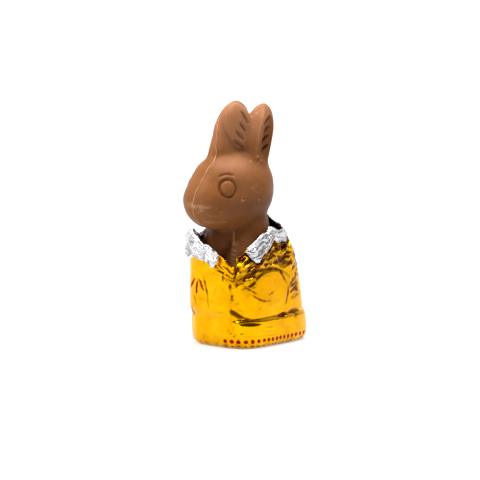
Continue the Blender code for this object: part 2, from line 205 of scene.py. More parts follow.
# Where the rim has no flap: angles from, to and soft edge, and the share of a flap that is lost
BARE_FRONT = (12.6, 40.5, 4.0)
BARE_BACK = (124.0, 176.0, 12.0)
BARE_SHARE = 0.9

# Waves of the rim's height and of its flaps' length: size, count round the foil and phase
RIM_WAVES = ((0.45, 9, 0.6), (0.3, 17, 2.1))
FLAP_WAVES = ((0.04, 7, 1.2), (0.04, 13, 0.3), (0.04, 19, 2.6))

# Random jags, as knots round the rim and size: of its height, its flaps' length and their
# flare, and how far a knot is moved, as a share of the space between two
RIM_JAGS = (90, 0.22)
FLAP_JAGS = ((80, 0.28), (170, 0.14))
FLARE_JAGS = (60, 0.25)
KNOT_JITTER = 0.35

# Tip of the right flap beside the tear: angle, half width in degrees and length, then the
# least length and flare of a flap
FLAP_TIP = (8.4, 2.2, 1.0)
LEAST_FLAP = 0.2
LEAST_FLARE = 0.3

# Fine mesh of the foil: columns round it, then rows of bottom, wall, fold and flap, and the
# radius of the innermost ring as a share of the base
COLUMNS = 600
BOTTOM_ROWS = 24
WALL_ROWS = 168
FOLD_ROWS = 10
FLAP_ROWS = 32
MIDDLE_HOLE = 0.015

# Thickness of the sheet, height of the rounding at its foot, power of the flare along a flap,
# the turn in degrees that shows as a sharp fold, and the seed of all that is random
SHEET = 0.1
BASE_CURVE = 2.4
FLARE_CURVE = 0.7
FACE_TURN = 48.0
SEED = 42

# Radius of the fold at the rim, how much of it the bare edge loses, and where it is wider
FOLD_RADIUS = 0.62
BARE_FOLD_LOSS = 0.94
WIDE_FOLD = (1.6, (-75.0, -22.0, 20.0))

# Random facets of the crumpled foil: how many round it and how many up its grid, and how far
# their corners are moved, as a share of a facet
LARGE_FACETS = (24, 22)
MIDDLE_FACETS = (50, 44)
SMALL_FACETS = (100, 84)
UPRIGHT_FACETS = (90, 12)
FACET_JITTER = 0.4

# Parts of the wall: angles from, to and soft edge, then heights from, to and soft edge
SHOULDER = ((34.0, 140.0, 10.0), (35.6, 60.0, 3.5))
FAN = ((28.0, 50.0, 6.0), (29.5, 42.0, 5.0))
FLANK = ((110.0, 160.0, 8.0), (20.0, 37.0, 5.0))
LEDGE = ((80.0, 146.0, 10.0), (11.6, 15.6, 1.8))

# Roll beside the tear: angle of its middle and half width, then height of its middle and half height
ROLL = ((37.5, 6.5), (39.0, 3.6))

# Hidden side: angle opposite to it, then how far from that and from what height it begins,
# each with its softness
SHOWN_MIDDLE = 45.0
HIDDEN = ((88.0, 24.0), (14.0, 12.0))

# Strips under the rim and over the base, and the foot where the lower one begins: edge and softness
NEAR_RIM = (7.0, 8.0)
HEM = (2.6, 2.4)
HEM_FOOT = (0.5, 0.6)

# Shadow under a flap: distance from the flap's edge, half width, and angles where it shows
OVERHANG = (0.9, 1.2, (42.0, 118.0, 6.0))

# Wall behind a flap: shortest flap that hides it, then how far behind the edge, and softness
COVER = (2.0, 0.6, 1.0)

# Pleats under the base: pairs round it, sway and its count, heights, and the radius where they start
PLEATS = 26
PLEAT_SWAY = (1.5, 3)
PLEAT_HEIGHT = 0.1
PLEAT_GRAIN = 0.06
PLEATED = (17.0, 6.0)

# Share of the crumple that each part has: shoulder, fan, hidden side, rim and ledge
CRUMPLED = (0.9, 0.7, 0.3, 0.25, 0.3)

# Height of each part as a sum: a constant, then shares of large, middle, small and upright facets
PLAIN = (0.0, 0.05, 0.02, 0.01)
ROUGH = (0.0, 0.0, 0.62, 0.3)
ROLLED = (1.3, 0.0, 0.8, 0.45)
FOLDED = (0.0, 0.0, 0.3, 0.16)
FLAPPED = (0.315, 0.45, 0.46, 0.26)
HEMMED = (0.0, 0.0, 0.0, 0.12, 0.2)

# Least of the flap's sum, then how far the wall behind a flap is pressed in and smoothed
FLAP_SINK = -0.35
COVERED_DROP = 0.25
COVERED_CALM = 0.85

# Painted shade of each part as the same sum
UPPER_SHADE = (0.84, 0.0, -0.9, -0.6)
FLANK_SHADE = (0.2, 0.0, -1.2, -0.8)
HAUNCH_SHADE = (0.17, 0.06, 0.05, 0.0)
HEM_SHADE = (0.4, 0.0, 0.0, -0.6, -1.0)

# Strength of the painted shade on the hem, of the painted shadow under a flap and of the painted shade on the
# torn edge at the back
HEM_PAINTED_SHADE = 0.5
OVERHANG_SHADE = 0.6
FAR_EDGE_SHADE = 0.8

# Print on the foil: UV units in a millimetre, length of the print round the foil in
# millimetres, the width of a column, and heights without print
PRINT_UNIT = 0.01
PRINT_LENGTH = 140.0
COLUMN_PRINT = PRINT_LENGTH * PRINT_UNIT / COLUMNS
BELOW_PRINT = -0.05
ABOVE_PRINT = 2.0

# Creases pressed into the foil: depth, half width, then angle and height of each point
CREASES = (
    (
        0.6, 0.6,
        ((43, 33.4), (49.7, 35), (61.5, 35.3), (78.1, 35.2), (91.1, 34.1), (98, 30.6), (105.9, 26.8)),
    ),
    (0.6, 0.58, ((106.5, 26.4), (105.8, 22.1), (102.7, 17.7))),
    (0.36, 0.41, ((36.3, 29.5), (40.8, 28.1), (46.7, 26.4), (54.3, 24.2))),
    (0.4, 0.43, ((42.7, 26), (49.4, 23.6), (56.9, 21.8), (64, 21), (75, 20.9))),
    (0.25, 0.36, ((67.6, 23.3), (73, 24.3), (78.5, 24.9))),
    (0.22, 0.36, ((53.5, 16.8), (59.3, 19.4))),
    (0.22, 0.36, ((31.9, 18.8), (38.9, 16.9))),
    (0.45, 0.6, ((25, 30.2), (25, 27.1))),
    (0.4, 0.6, ((31, 30.2), (31.4, 28))),
    (0.4, 0.6, ((27, 25.3), (27, 22.4))),
    (0.45, 0.5, ((17.5, 34.8), (17.7, 30.4))),
    (0.14, 0.6, ((26.1, 36.6), (25.8, 30), (26.1, 23.3), (26.1, 18), (25.8, 11.8), (25.9, 5.4))),
    (0.5, 0.66, ((26.1, 18.2), (34.6, 15.2), (39.8, 13.9), (51.3, 13.2))),
    (0.3, 0.5, ((58.3, 14.1), (84.5, 13.4), (100, 13.8), (132.6, 13.6))),
    (0.18, 0.38, ((60.1, 9.5), (78, 8.9))),
    (0.08, 0.38, ((44, 8.2), (70, 7.2), (90, 7))),
    (0.4, 0.6, ((-7.6, 32.2), (-5, 29.6), (-2, 24.9), (0.2, 17.1))),
    (0.28, 0.41, ((-15.9, 31.3), (-10, 27.6), (-7, 25.6))),
    (0.28, 0.41, ((-20.1, 24.3), (-14.1, 16.2))),
    (0.35, 0.72, ((-21.8, 18.4), (-28.7, 13))),
    (0.1, 0.48, ((6.6, 16.4), (21.3, 16.6))),
    (0.08, 0.48, ((6.1, 12), (18.2, 12.2))),
    (0.12, 0.48, ((30, 6.8), (39.8, 6), (79.2, 5.2), (110, 5), (135.2, 4.2))),
)

# How deep a crease of depth 1 is and how much painted shade it gets, how thin and flat its ends
# are, and how its depth varies along it: mean, change and rate
CREASE_PRESS = 0.25
CREASE_SHADE = 3.0
CREASE_THINNEST = 0.45
CREASE_END = (0.03, 0.6)
CREASE_CHANGE = (0.8, 0.2, 0.9)

# Dents darkened with painted shade: angle and height of the middle, half sizes in mm, slant, depth
DENTS = (
    (29.8, 15.9, 2.6, 1.5, -0.6, 0.9),
    (44, 11.7, 4.4, 0.8, -0.06, 0.8),
    (96, 13.4, 3.2, 0.9, 0.05, 0.75),
    (118, 14.4, 3.4, 1.1, 0.05, 0.75),
    (-27, 15, 2.6, 2.2, 0, 0.8),
    (-24, 20.5, 0.6, 3, -0.4, 0.35),
    (24.5, 7.4, 0.6, 0.35, 0.2, 0.25),
    (28.5, 6.4, 0.8, 0.35, 0.5, 0.25),
    (24, 12.2, 0.35, 1.6, 0, 0.2),
    (36, 7.6, 0.8, 0.3, 0.3, 0.2),
    (27.5, 9.6, 0.7, 1.3, 0, 0.2),
    (33, 4.9, 1, 0.4, 0.1, 0.2),
    (22, 8.8, 1, 0.4, -0.4, 0.2),
)

# How deep a dent of depth 1 is and how much painted shade it gets, and how far in front of the wall or behind
# it
DENT_PRESS = 0.5
DENT_SHADE = 1.3
DENT_REACH = 8.0


def smooth_between(x, knots, values):
    """Cubic curve through the knots, without overshoot past the ends."""
    knots = np.asarray(knots, float)
    values = np.asarray(values, float)
    slope = np.gradient(values, knots)
    i = np.clip(np.searchsorted(knots, x) - 1, 0, len(knots) - 2)
    step = knots[i + 1] - knots[i]
    t = np.clip((x - knots[i]) / step, 0.0, 1.0)
    start = (1 + 2 * t) * (1 - t) ** 2 * values[i] + t * (1 - t) ** 2 * step * slope[i]
    end = t * t * (3 - 2 * t) * values[i + 1] + t * t * (t - 1) * step * slope[i + 1]
    return start + end


def soft_step(x, edge, width):
    """Goes from 0 to 1 as x passes the edge, over the width."""
    t = np.clip((x - edge) / width + 0.5, 0.0, 1.0)
    return t * t * (3 - 2 * t)


def soft_below(x, edge, width):
    """Goes from 1 to 0 as x passes the edge, over the width."""
    return 1.0 - soft_step(x, edge, width)


def soft_window(x, low, high, width):
    """1 between low and high, 0 outside, with soft edges of the width."""
    return soft_step(x, low, width) * soft_below(x, high, width)


def bell(x, width):
    """1 where x is 0, falling to 0 within about twice the width."""
    return np.exp(-((x / width) ** 2))


def dome(x):
    """Height of a half ball of radius 1 at the distance x from its middle, 0 outside it."""
    return np.sqrt(np.clip(1.0 - x ** 2, 0.0, 1.0))


def waves(x, parts):
    """Sum of sine waves, each given as size, frequency and phase."""
    return sum(size * np.sin(frequency * x + phase) for size, frequency, phase in parts)


def soft_union(a, b, blend):
    """Joins two levels with a fillet of about the blend's size."""
    h = np.clip(0.5 + 0.5 * (b - a) / blend, 0.0, 1.0)
    return b * (1 - h) + a * h - blend * h * (1 - h)


def ellipsoid(points, centre, radii, lean=0.0, depth_below=None, spread=0.0):
    """Distance-like level of an ellipsoid, below zero inside it."""
    q = points - np.asarray(centre)
    q[:, 1] -= lean * q[:, 2]
    r = np.tile(np.asarray(radii, float), (len(q), 1))
    if depth_below is not None:
        r[:, 2] = np.where(q[:, 2] < 0, depth_below, r[:, 2])
        r[:, 1] += spread * np.clip(-q[:, 2], 0, None)
    a = np.linalg.norm(q / r, axis=1)
    b = np.linalg.norm(q / (r * r), axis=1) + 1e-9
    return a * (a - 1.0) / b


def beside(middle, offset, side):
    """Place at an offset from an ear's middle, on its left for side 1 or its right for -1."""
    return (middle[0] + side * offset[0], middle[1] + offset[1], middle[2] + offset[2])


def haunch_window(y, z):
    """1 inside the outline of a haunch as seen from its side, 0 outside."""
    (haunch_y, haunch_z), (haunch_length, haunch_height) = HAUNCH
    reach = np.hypot((y - haunch_y) / haunch_length, (z - haunch_z) / haunch_height)
    return soft_below(reach, *HAUNCH_RIM)


def body_relief(angle, y, z):
    """Height of forelegs, hind feet, haunches and tail over the plain body."""
    turn = np.degrees(np.abs(angle))
    front = soft_below(turn, *FORELEG_EDGE)
    forelegs = FORELEG_RAISE * front * soft_below(z, *FORELEG_HEIGHT)
    side = np.degrees(angle)
    foot_arc = soft_step(side, *FOOT_FRONT) + soft_below(side, *RIGHT_FOOT_FRONT)
    foot_arc = foot_arc * soft_below(turn, *FOOT_REAR)
    feet = FOOT_RAISE * foot_arc * soft_below(z, *FOOT_HEIGHT)
    haunches = HAUNCH_RAISE * haunch_window(y, z)
    (tail_turn, tail_z), (tail_width, tail_height) = TAIL
    tail_reach = np.hypot((tail_turn - turn) / tail_width, (z - tail_z) / tail_height)
    return forelegs + feet + haunches + TAIL_RAISE * dome(tail_reach)


def body_radius(angle, z):
    """Distance from the upright axis to the foil's outer face, front at angle 0."""
    heights = [row[0] for row in BODY]
    width, front, back, square = (
        smooth_between(z, heights, [row[column] for row in BODY]) for column in (1, 2, 3, 4)
    )
    ahead = np.where(np.cos(angle) > 0, front, back)
    across = np.abs(np.sin(angle) / width) ** square
    along = np.abs(np.cos(angle) / ahead) ** square
    radius = (across + along) ** (-1.0 / square)
    return radius + body_relief(angle, -radius * np.cos(angle), z)


def around_axis(angle, radius, z):
    """Points at the angles, radii and heights round the upright axis, as rows of X, Y and Z."""
    return np.column_stack((radius * np.sin(angle), -radius * np.cos(angle), z))


def torso_level(points):
    """Body under the foil, with neck and the tops of the forelegs."""
    x, y, z = points.T
    angle = np.arctan2(x, -y)
    body = np.hypot(x, y) - body_radius(angle, z) + BODY_INSET
    body = -soft_union(-body, SHOULDER_TOP - z, SHOULDER_BLEND)
    body = -soft_union(-body, z - BODY_INSET, CHOCOLATE_BASE_BLEND)
    (neck_x, neck_y), (neck_width, neck_depth) = NECK
    flare = NECK_FLARE * (NECK_TOP - np.clip(z, NECK_FLARE_END, NECK_TOP))
    across = (x - neck_x) / (neck_width + flare)
    along = (y - neck_y) / (neck_depth + flare)
    neck = (np.hypot(across, along) - 1.0) * neck_depth
    neck = np.maximum(np.maximum(neck, z - NECK_TOP), NECK_FOOT - z)
    torso = soft_union(body, neck, SHOULDER_BLEND)
    for side in (1, -1):
        centre, radii = FORELEG_TOP
        shifted = points - np.array((side * centre[0], centre[1], centre[2]))
        shifted[:, 0] -= side * FORELEG_TILT * shifted[:, 2]
        foreleg = ellipsoid(shifted, (0.0, 0.0, 0.0), radii)
        torso = soft_union(torso, foreleg, FORELEG_BLEND)
    return torso


def hollow_levels(points):
    """Levels of the hollows on both sides of the rear ear."""
    places = [beside(REAR_EAR[0], HOLLOW[0], side) for side in (1, -1)]
    return [ellipsoid(points, place, HOLLOW[1], REAR_EAR_LEAN) for place in places]


def ear_levels(points):
    """Levels of the front ear without its pads, of its pads, and of the rear ear."""
    front_ear = ellipsoid(points, *FRONT_EAR, FRONT_EAR_LEAN, EAR_DEPTH_BELOW, FRONT_EAR_SPREAD)
    rear_ear = ellipsoid(points, *REAR_EAR, REAR_EAR_LEAN, EAR_DEPTH_BELOW)
    pads = [
        ellipsoid(points, beside(FRONT_EAR[0], offset, 1), radii, lean)
        for offset, radii, lean in (LEFT_PAD, RIGHT_PAD)
    ]
    for hollow in hollow_levels(points):
        rear_ear = -soft_union(-rear_ear, hollow, HOLLOW_BLEND)
    return front_ear, pads, rear_ear


def skull_level(points):
    """Level of the head without its forehead and ears."""
    return soft_union(ellipsoid(points, *CRANIUM), ellipsoid(points, *MUZZLE), HEAD_BLEND)


def rabbit_level(points):
    """Level of the whole chocolate rabbit: below zero inside, above it outside."""
    head = soft_union(skull_level(points), ellipsoid(points, *FOREHEAD), FOREHEAD_BLEND)
    front_ear, pads, rear_ear = ear_levels(points)
    for pad in pads:
        front_ear = soft_union(front_ear, pad, PAD_BLEND)
    tip, foot = EAR_GAP_BLEND
    gap_blend = foot + (tip - foot) * soft_step(points[:, 2], *EAR_GAP_FADE)
    ears = soft_union(front_ear, rear_ear, gap_blend)
    top = soft_union(head, ears, EAR_ROOT_BLEND)
    return soft_union(top, torso_level(points), THROAT_BLEND)


def level_slope(points, nudge):
    """Slope of the rabbit's level at the points, by differences over the nudge on both sides."""
    steps = nudge * np.eye(3)
    sides = [rabbit_level(points + step) - rabbit_level(points - step) for step in steps]
    return np.column_stack(sides) / (2 * nudge)


def settle(points, steps):
    """Moves points near the rabbit's form onto its zero level by Newton's steps."""
    for _ in range(steps):
        slope = level_slope(points, SETTLE_NUDGE)
        size = np.maximum((slope ** 2).sum(axis=1), LEAST_SLOPE)
        stride = np.clip(rabbit_level(points) / size, -LONGEST_STRIDE, LONGEST_STRIDE)
        points = points - stride[:, None] * slope
    return points


def side_point(y, z, side):
    """Point of the chocolate's surface seen from the given side at y and z."""
    inner, outer = 0.0, SIDE_REACH
    for _ in range(SIDE_HALVINGS):
        middle = 0.5 * (inner + outer)
        inside = rabbit_level(np.array([[side * middle, y, z]]))[0] < 0
        inner, outer = (middle, outer) if inside else (inner, middle)
    return np.array((side * inner, y, z))


def on_surface(line):
    """The line's points moved onto the chocolate's surface."""
    return settle(np.asarray(line, float), LINE_STEPS)


def surface_normal(point):
    """Unit normal of the chocolate's surface near the point."""
    slope = level_slope(point[None], NORMAL_NUDGE)[0]
    return slope / np.linalg.norm(slope)


def segment_distance(points, start, end):
    """Distance from each point to the segment, and how far along it the nearest place is."""
    along = end - start
    t = np.clip(((points - start) @ along) / (along @ along), 0.0, 1.0)
    return np.linalg.norm(points - start - t[:, None] * along, axis=1), t


def line_distance(points, line):
    """Distance from each point to a line of several segments, and how far along it, 0 to 1."""
    line = np.asarray(line, float)
    nearest = np.full(len(points), 1e9)
    place = np.zeros(len(points))
    segments = len(line) - 1
    for i in range(segments):
        distance, t = segment_distance(points, line[i], line[i + 1])
        closer = distance < nearest
        nearest = np.where(closer, distance, nearest)
        place = np.where(closer, (i + t) / segments, place)
    return nearest, place


def put_object(name, data):
    """New object of the scene with the mesh, camera or lamp in it."""
    obj = bpy.data.objects.new(name, data)
    bpy.context.collection.objects.link(obj)
    return obj


def bake_modifiers(obj):
    """Replaces the object's mesh by what its modifiers make of it."""
    depsgraph = bpy.context.evaluated_depsgraph_get()
    mesh = bpy.data.meshes.new_from_object(obj.evaluated_get(depsgraph))
    obj.modifiers.clear()
    old = obj.data
    obj.data = mesh
    mesh.name = obj.name
    bpy.data.meshes.remove(old)


def read_vectors(source, key):
    """Vectors that Blender keeps under the key, one a row."""
    vectors = np.empty(len(source) * 3, np.float32)
    source.foreach_get(key, vectors)
    return vectors.reshape(-1, 3).astype(float)


def mesh_points(obj):
    """Places of the object's vertices, in millimetres."""
    return read_vectors(obj.data.vertices, "co") / MM


def set_points(obj, points):
    """Moves the object's vertices to places given in millimetres."""
    obj.data.vertices.foreach_set("co", (points * MM).astype(np.float32).ravel())
    obj.data.update()


def add_attribute(obj, name, values):
    """Number per vertex that the material reads."""
    layer = obj.data.attributes.new(name, "FLOAT", "POINT")
    layer.data.foreach_set("value", np.asarray(values, np.float32))


# Chocolate figure

# Fine mesh of the chocolate: size of the remesh and how it is evened out
VOXEL = 0.34
RELAX = 0.5
RELAX_ROUNDS = 3

# How points are moved onto the form: steps for the mesh and for a line, the nudges that find
# a slope and a normal, the least slope and the longest stride
SETTLE_STEPS = 5
LINE_STEPS = 6
SETTLE_NUDGE = 0.05
NORMAL_NUDGE = 0.3
LEAST_SLOPE = 0.1
LONGEST_STRIDE = 1.5

# How a point on the side is found: farthest place along X, and halvings of the way to it
SIDE_REACH = 25.0
SIDE_HALVINGS = 40

# Rough stock of the body, and segments of each rough ball
STOCK_TOP = NECK_TOP - 4.0
STOCK_COLUMNS = 64
STOCK_RINGS = 24
BALL_SEGMENTS = (32, 16)

# Mould seam: height and place along X on the front and on the back of the figure, where it
# starts, its height and half width, its waves, and how its width varies along it
SEAM_FRONT = (
    (40, 0.4), (59, 0.6), (67, 1.1), (71, 1.6),
    (82, 2.1), (86, 1.7), (100, -1), (112, -1.4),
)
SEAM_BACK = ((40.0, 0.0), (76.0, 0.6), (88.0, 4.0), (108.0, 4.6))
SEAM_BACK_START = -3.0
SEAM_FOOT = 56.5
SEAM_HEIGHT = 0.16
SEAM_WIDTH = 0.32
SEAM_WAVES = ((0.12, 1.3, 0.0), (0.1, 0.47, 1.0))
SEAM_BREAKS = (0.55, 0.45, (0.9, 0.4), (0.37, 0.21))
SEAM_FAR = 9.0

# Line where the chest folds against the left foreleg, and the hollow next to it, which gets a painted shadow
CHEST_RIDGE = ((7.4, -17.6, 52.5), (7.9, -18.3, 49), (8.6, -19, 45), (9.3, -19.8, 41.6), (9.2, -20.2, 37))
CHEST_WEDGE = ((6.9, -19.2, 46.5), (5.7, -20.2, 43.4), (4.2, -21.2, 40.4), (2.6, -22.0, 38.2))
CHEST_WEDGE_WIDTH = 2.4

# Raised line up the front of the rear ear
EAR_RIDGE = ((8.3, 1.6, 104), (8.8, -0.2, 101), (9.2, -2.6, 96), (9.4, -4, 91), (9.6, -5.2, 84))

# Both lines: height and half width, then strength and half width of the pale rub and painted highlight along
# them
CHEST_LINE = (0.45, 0.75, 0.7, 0.38)
EAR_LINE = (0.35, 0.8, 0.3, 0.4)

# Air pits of the casting: depth in radii, strength of the painted shade in them, then strength, place and
# width of the pale rim
PIT = (0.8, 0.35, 0.4, 1.4, 0.5)
PIT_PLACES = (
    ((14.3, -18.9, 67.8), 0.5),
    ((15, -12.5, 71.2), 0.36),
    ((-13.8, -20, 64.5), 0.45),
    ((2, 10.2, 72), 0.45),
    ((-6, 9, 66), 0.36),
)

# Pale specks: height and strength, then the place and radius of each
SPECK = (0.12, 0.75)
SPECK_PLACES = (
    ((13.7, -19.6, 67.1), 0.32),
    ((14.6, -13.6, 72), 0.26),
    ((10.3, -9.6, 83.4), 0.36),
    ((10.2, -4.6, 84.8), 0.34),
    ((10.9, -3.4, 83), 0.3),
    ((11.3, -5.2, 82.2), 0.22),
    ((9.4, -25, 57.6), 0.3),
    ((14.9, -9.5, 66.2), 0.24),
    ((-14.6, -8, 74), 0.3),
    ((-12, -26, 70), 0.24),
    ((7.4, 2.8, 105.2), 0.24),
    ((8.9, 0.9, 101.2), 0.18),
    ((6.2, -1.6, 104), 0.2),
)

# Pale rubs and scratches, and painted highlights on the muzzle and the rear ear's ridge: two ends, half width
# and strength
RUBS = (
    ((-2.6, -38.2, 65.6), (0.6, -38.5, 65), 0.6, 0.35),
    ((-2, -38, 68), (4, -37.5, 66), 4.5, 0.12),
    ((8.3, 1.6, 104), (9.2, -2.6, 96), 0.3, 0.3),
    ((7, 2, 105), (8, -0.5, 102), 0.5, 0.25),
    ((1.4, -38.5, 65.2), (5.4, -37, 65.1), 0.5, 0.42),
    ((4.9, -37.2, 64.9), (8.4, -34.7, 64.9), 0.4, 0.3),
    ((0.4, -38.6, 66.6), (2.4, -38.2, 63.4), 0.22, 0.5),
    ((3.2, -37.3, 62.4), (5.8, -36.6, 63.8), 0.25, 0.4),
    ((3.5, -33.7, 57.8), (6.6, -30.8, 57.5), 0.4, 0.4),
    ((6.6, -30.8, 57.5), (9.2, -25.3, 57.4), 0.35, 0.35),
    ((6.3, -34.9, 61.2), (10.5, -28.6, 60.5), 0.3, 0.14),
    ((4.6, -36.4, 63), (11, -29, 62.6), 0.5, 0.12),
    ((9.2, -26, 83), (10.6, -22, 80.8), 0.2, 0.25),
    ((12.8, -21, 80), (13.6, -15, 77), 0.18, 0.2),
    ((-6, -35, 70), (-9, -31, 66), 0.25, 0.4),
    ((-12, -24, 76), (-13.4, -16, 73), 0.2, 0.3),
)

# Slow unevenness of the casting: height, then frequency and phase along X, Y and Z
SWELLS = (
    (0.10, (0.31, 0.5), (0.27, 0), (0.36, 1.1)),
    (0.05, (0.83, 1.7), (0.71, 0.4), (0.77, 0)),
)


def add_blob(bm, centre, radii, lean=0.0):
    """Rough closed ball of the given radii, as stock for the remesh."""
    around, upward = BALL_SEGMENTS
    made = bmesh.ops.create_uvsphere(bm, u_segments=around, v_segments=upward, radius=1.0)
    for vert in made["verts"]:
        x, y, z = (vert.co[i] * radii[i] for i in range(3))
        vert.co = ((centre[0] + x) * MM, (centre[1] + y + lean * z) * MM, (centre[2] + z) * MM)


def add_body_stock(bm):
    """Rough closed column of the body and the neck, as stock for the remesh."""
    turns = np.linspace(0, 2 * math.pi, STOCK_COLUMNS, endpoint=False)
    rings = []
    for z in np.linspace(BODY_INSET, STOCK_TOP, STOCK_RINGS):
        if z < SHOULDER_TOP:
            radius = body_radius(turns, np.full_like(turns, z)) - BODY_INSET
            centre_y = 0.0
        else:
            radius = np.full_like(turns, NECK[1][1])
            centre_y = NECK[0][1]
        rings.append(
            [
                bm.verts.new((r * math.sin(t) * MM, (centre_y - r * math.cos(t)) * MM, z * MM))
                for r, t in zip(radius, turns)
            ]
        )
    for low, high in zip(rings, rings[1:]):
        for i in range(len(turns)):
            j = (i + 1) % len(turns)
            bm.faces.new((low[i], low[j], high[j], high[i]))
    bm.faces.new(tuple(reversed(rings[0])))
    bm.faces.new(tuple(rings[-1]))


def plain_chocolate():
    """Fine even mesh of the plain form, remeshed from rough stock and settled on it."""
    bm = bmesh.new()
    for blob in (CRANIUM, MUZZLE, FOREHEAD):
        add_blob(bm, *blob)
    for centre, radii, lean in ((*FRONT_EAR, FRONT_EAR_LEAN), (*REAR_EAR, REAR_EAR_LEAN)):
        foot = (centre[0], centre[1] - lean * EAR_STOCK_DROP, centre[2] - EAR_STOCK_DROP)
        add_blob(bm, centre, radii, lean)
        add_blob(bm, foot, radii, lean)
    add_body_stock(bm)
    mesh = bpy.data.meshes.new("chocolate_figure")
    bm.to_mesh(mesh)
    bm.free()
    obj = put_object("chocolate_figure", mesh)
    remesh = obj.modifiers.new("even_mesh", "REMESH")
    remesh.mode = "VOXEL"
    remesh.voxel_size = VOXEL * MM
    bake_modifiers(obj)
    set_points(obj, settle(mesh_points(obj), SETTLE_STEPS))
    relax = obj.modifiers.new("even_out", "SMOOTH")
    relax.factor = RELAX
    relax.iterations = RELAX_ROUNDS
    bake_modifiers(obj)
    set_points(obj, settle(mesh_points(obj), 1))
    return obj


def eye_relief(points):
    """Height and painted shade of the eye rings, raised discs and brows on both sides of the head."""
    relief = np.zeros(len(points))
    shade = np.zeros(len(points))
    ring_radius, ring_depth, ring_width, ring_shade = EYE_RING
    disc_radius, disc_height = EYE_DISC
    brow_radius, brow_depth, brow_width, brow_shade = BROW
    for side in (1, -1):
        spot = side_point(*EYE_PLACE, side)
        normal = surface_normal(spot)
        across = np.cross((0.0, 0.0, 1.0), normal)
        across /= np.linalg.norm(across)
        upward = np.cross(normal, across)
        q = points - spot
        near = np.abs(q @ normal) < EYE_REACH
        u, v = q @ across, q @ upward
        reach = np.hypot(u, v)
        ring = bell(reach - ring_radius, ring_width) * near
        disc = dome(reach / disc_radius) * near
        turn = np.degrees(np.arctan2(v, u))
        brow = bell(reach - brow_radius, brow_width) * soft_window(turn, *BROW_ARC) * near
        relief += disc_height * disc - ring_depth * ring - brow_depth * brow
        shade += ring_shade * ring + brow_shade * brow
    return relief, shade


def stroke_relief(points):
    """Height and painted shade of the strokes pressed into both sides of both ears."""
    relief = np.zeros(len(points))
    shade = np.zeros(len(points))
    depth, width, painted_shade, thin_end = STROKE
    lip_height, lip_place, lip_width = STROKE_LIP
    for middle, strokes in ((FRONT_EAR[0], FRONT_STROKES), (REAR_EAR[0], REAR_STROKES)):
        for side in (1, -1):
            for stroke in strokes:
                ends = [side_point(middle[1] + back, middle[2] + height, side) for back, height in stroke]
                distance, t = segment_distance(points, *ends)
                bulge = np.sin(math.pi * np.clip(t, 0.02, 0.98)) ** 0.5
                taper = thin_end + (1.0 - thin_end) * bulge
                groove = bell(distance, width * taper) * taper
                lip = bell(distance - lip_place * width, lip_width * width)
                relief += lip_height * lip - depth * groove
                shade += painted_shade * groove
    return relief, shade


def pad_rim_relief(points):
    """Height and painted shade of the groove round the pads of the front ear."""
    depth, width, painted_shade, fade = PAD_RIM
    front_ear, pads, _ = ear_levels(points)
    front_end = FRONT_EAR[0][1] + PAD_RIM_SLANT * (FRONT_EAR[0][2] - points[:, 2])
    ahead = soft_below(points[:, 1], front_end, fade)
    rims = sum(bell(pad - front_ear, width) * ahead for pad in pads)
    return -depth * rims, painted_shade * rims


def seam_relief(points):
    """Height of the mould seam, and the place of each point beside its middle."""
    x, y, z = points.T
    middle = np.where(y < SEAM_BACK_START, np.interp(z, *zip(*SEAM_FRONT)), np.interp(z, *zip(*SEAM_BACK)))
    middle = middle + waves(z, SEAM_WAVES)
    mean, change, (short_rate, phase), (long_rate, slant) = SEAM_BREAKS
    broken = mean + change * np.sin(z * short_rate + phase) * np.sin(z * long_rate + y * slant)
    seen = z > SEAM_FOOT
    place = np.where(seen, np.clip((x - middle) / broken, -SEAM_FAR, SEAM_FAR), SEAM_FAR)
    return SEAM_HEIGHT * bell(x - middle, SEAM_WIDTH) * seen, place


def reach_from(points, centre):
    """Distance from the surface point that is nearest to the centre, roughly."""
    reach = np.linalg.norm(points - np.asarray(centre), axis=1)
    return reach - reach.min()


def wear_and_painted_light(points):
    """Height, painted shade and paleness of the lines, pits, specks and rubs; the paleness along the lines is
    partly painted highlight.
    """
    relief, shade, rub_and_painted_highlight = np.zeros((3, len(points)))
    reaches = [line_distance(points, on_surface(line))[0] for line in (CHEST_RIDGE, EAR_RIDGE)]
    for reach, (height, width, pale, pale_width) in zip(reaches, (CHEST_LINE, EAR_LINE)):
        relief += height * bell(reach, width)
        rub_and_painted_highlight += pale * bell(reach, pale_width)
    painted_wedge_shadow = bell(line_distance(points, CHEST_WEDGE)[0], CHEST_WEDGE_WIDTH)
    shade += painted_wedge_shadow * (1.0 - bell(reaches[0], CHEST_LINE[1]))
    pit_depth, pit_shade, pale, pale_place, pale_width = PIT
    for centre, radius in PIT_PLACES:
        reach = reach_from(points, centre)
        relief -= pit_depth * radius * bell(reach, radius)
        rub_and_painted_highlight += pale * bell(reach - pale_place * radius, pale_width * radius)
        shade += pit_shade * bell(reach, radius)
    speck_height, speck_pale = SPECK
    for centre, radius in SPECK_PLACES:
        speck = bell(reach_from(points, centre), radius)
        relief += speck_height * speck
        rub_and_painted_highlight += speck_pale * speck
    for start, end, width, strength in RUBS:
        distance, _ = segment_distance(points, np.asarray(start), np.asarray(end))
        rub_and_painted_highlight += strength * bell(distance - distance.min(), width)
    return relief, shade, rub_and_painted_highlight


def pad_window(points):
    """1 on the pads of the front ear, nearly 1 on the tip of the rear one, 0 elsewhere."""
    _, pads, _ = ear_levels(points)
    raised = soft_below(np.minimum(*pads), *PAD_EDGE)
    return np.maximum(raised, REAR_TIP_SHARE * soft_step(points[:, 2], *REAR_TIP))


def hollow_window(points):
    """1 inside the hollows of the rear ear, 0 elsewhere."""
    return soft_below(np.minimum(*hollow_levels(points)), *HOLLOW_EDGE)


def under_jaw_window(points):
    """1 on the neck close under the jaw, 0 elsewhere."""
    skull = skull_level(points)
    below = soft_step(skull - torso_level(points), *JAW_EDGE)
    return below * bell(np.clip(skull, 0.0, None), JAW_SHADOW)


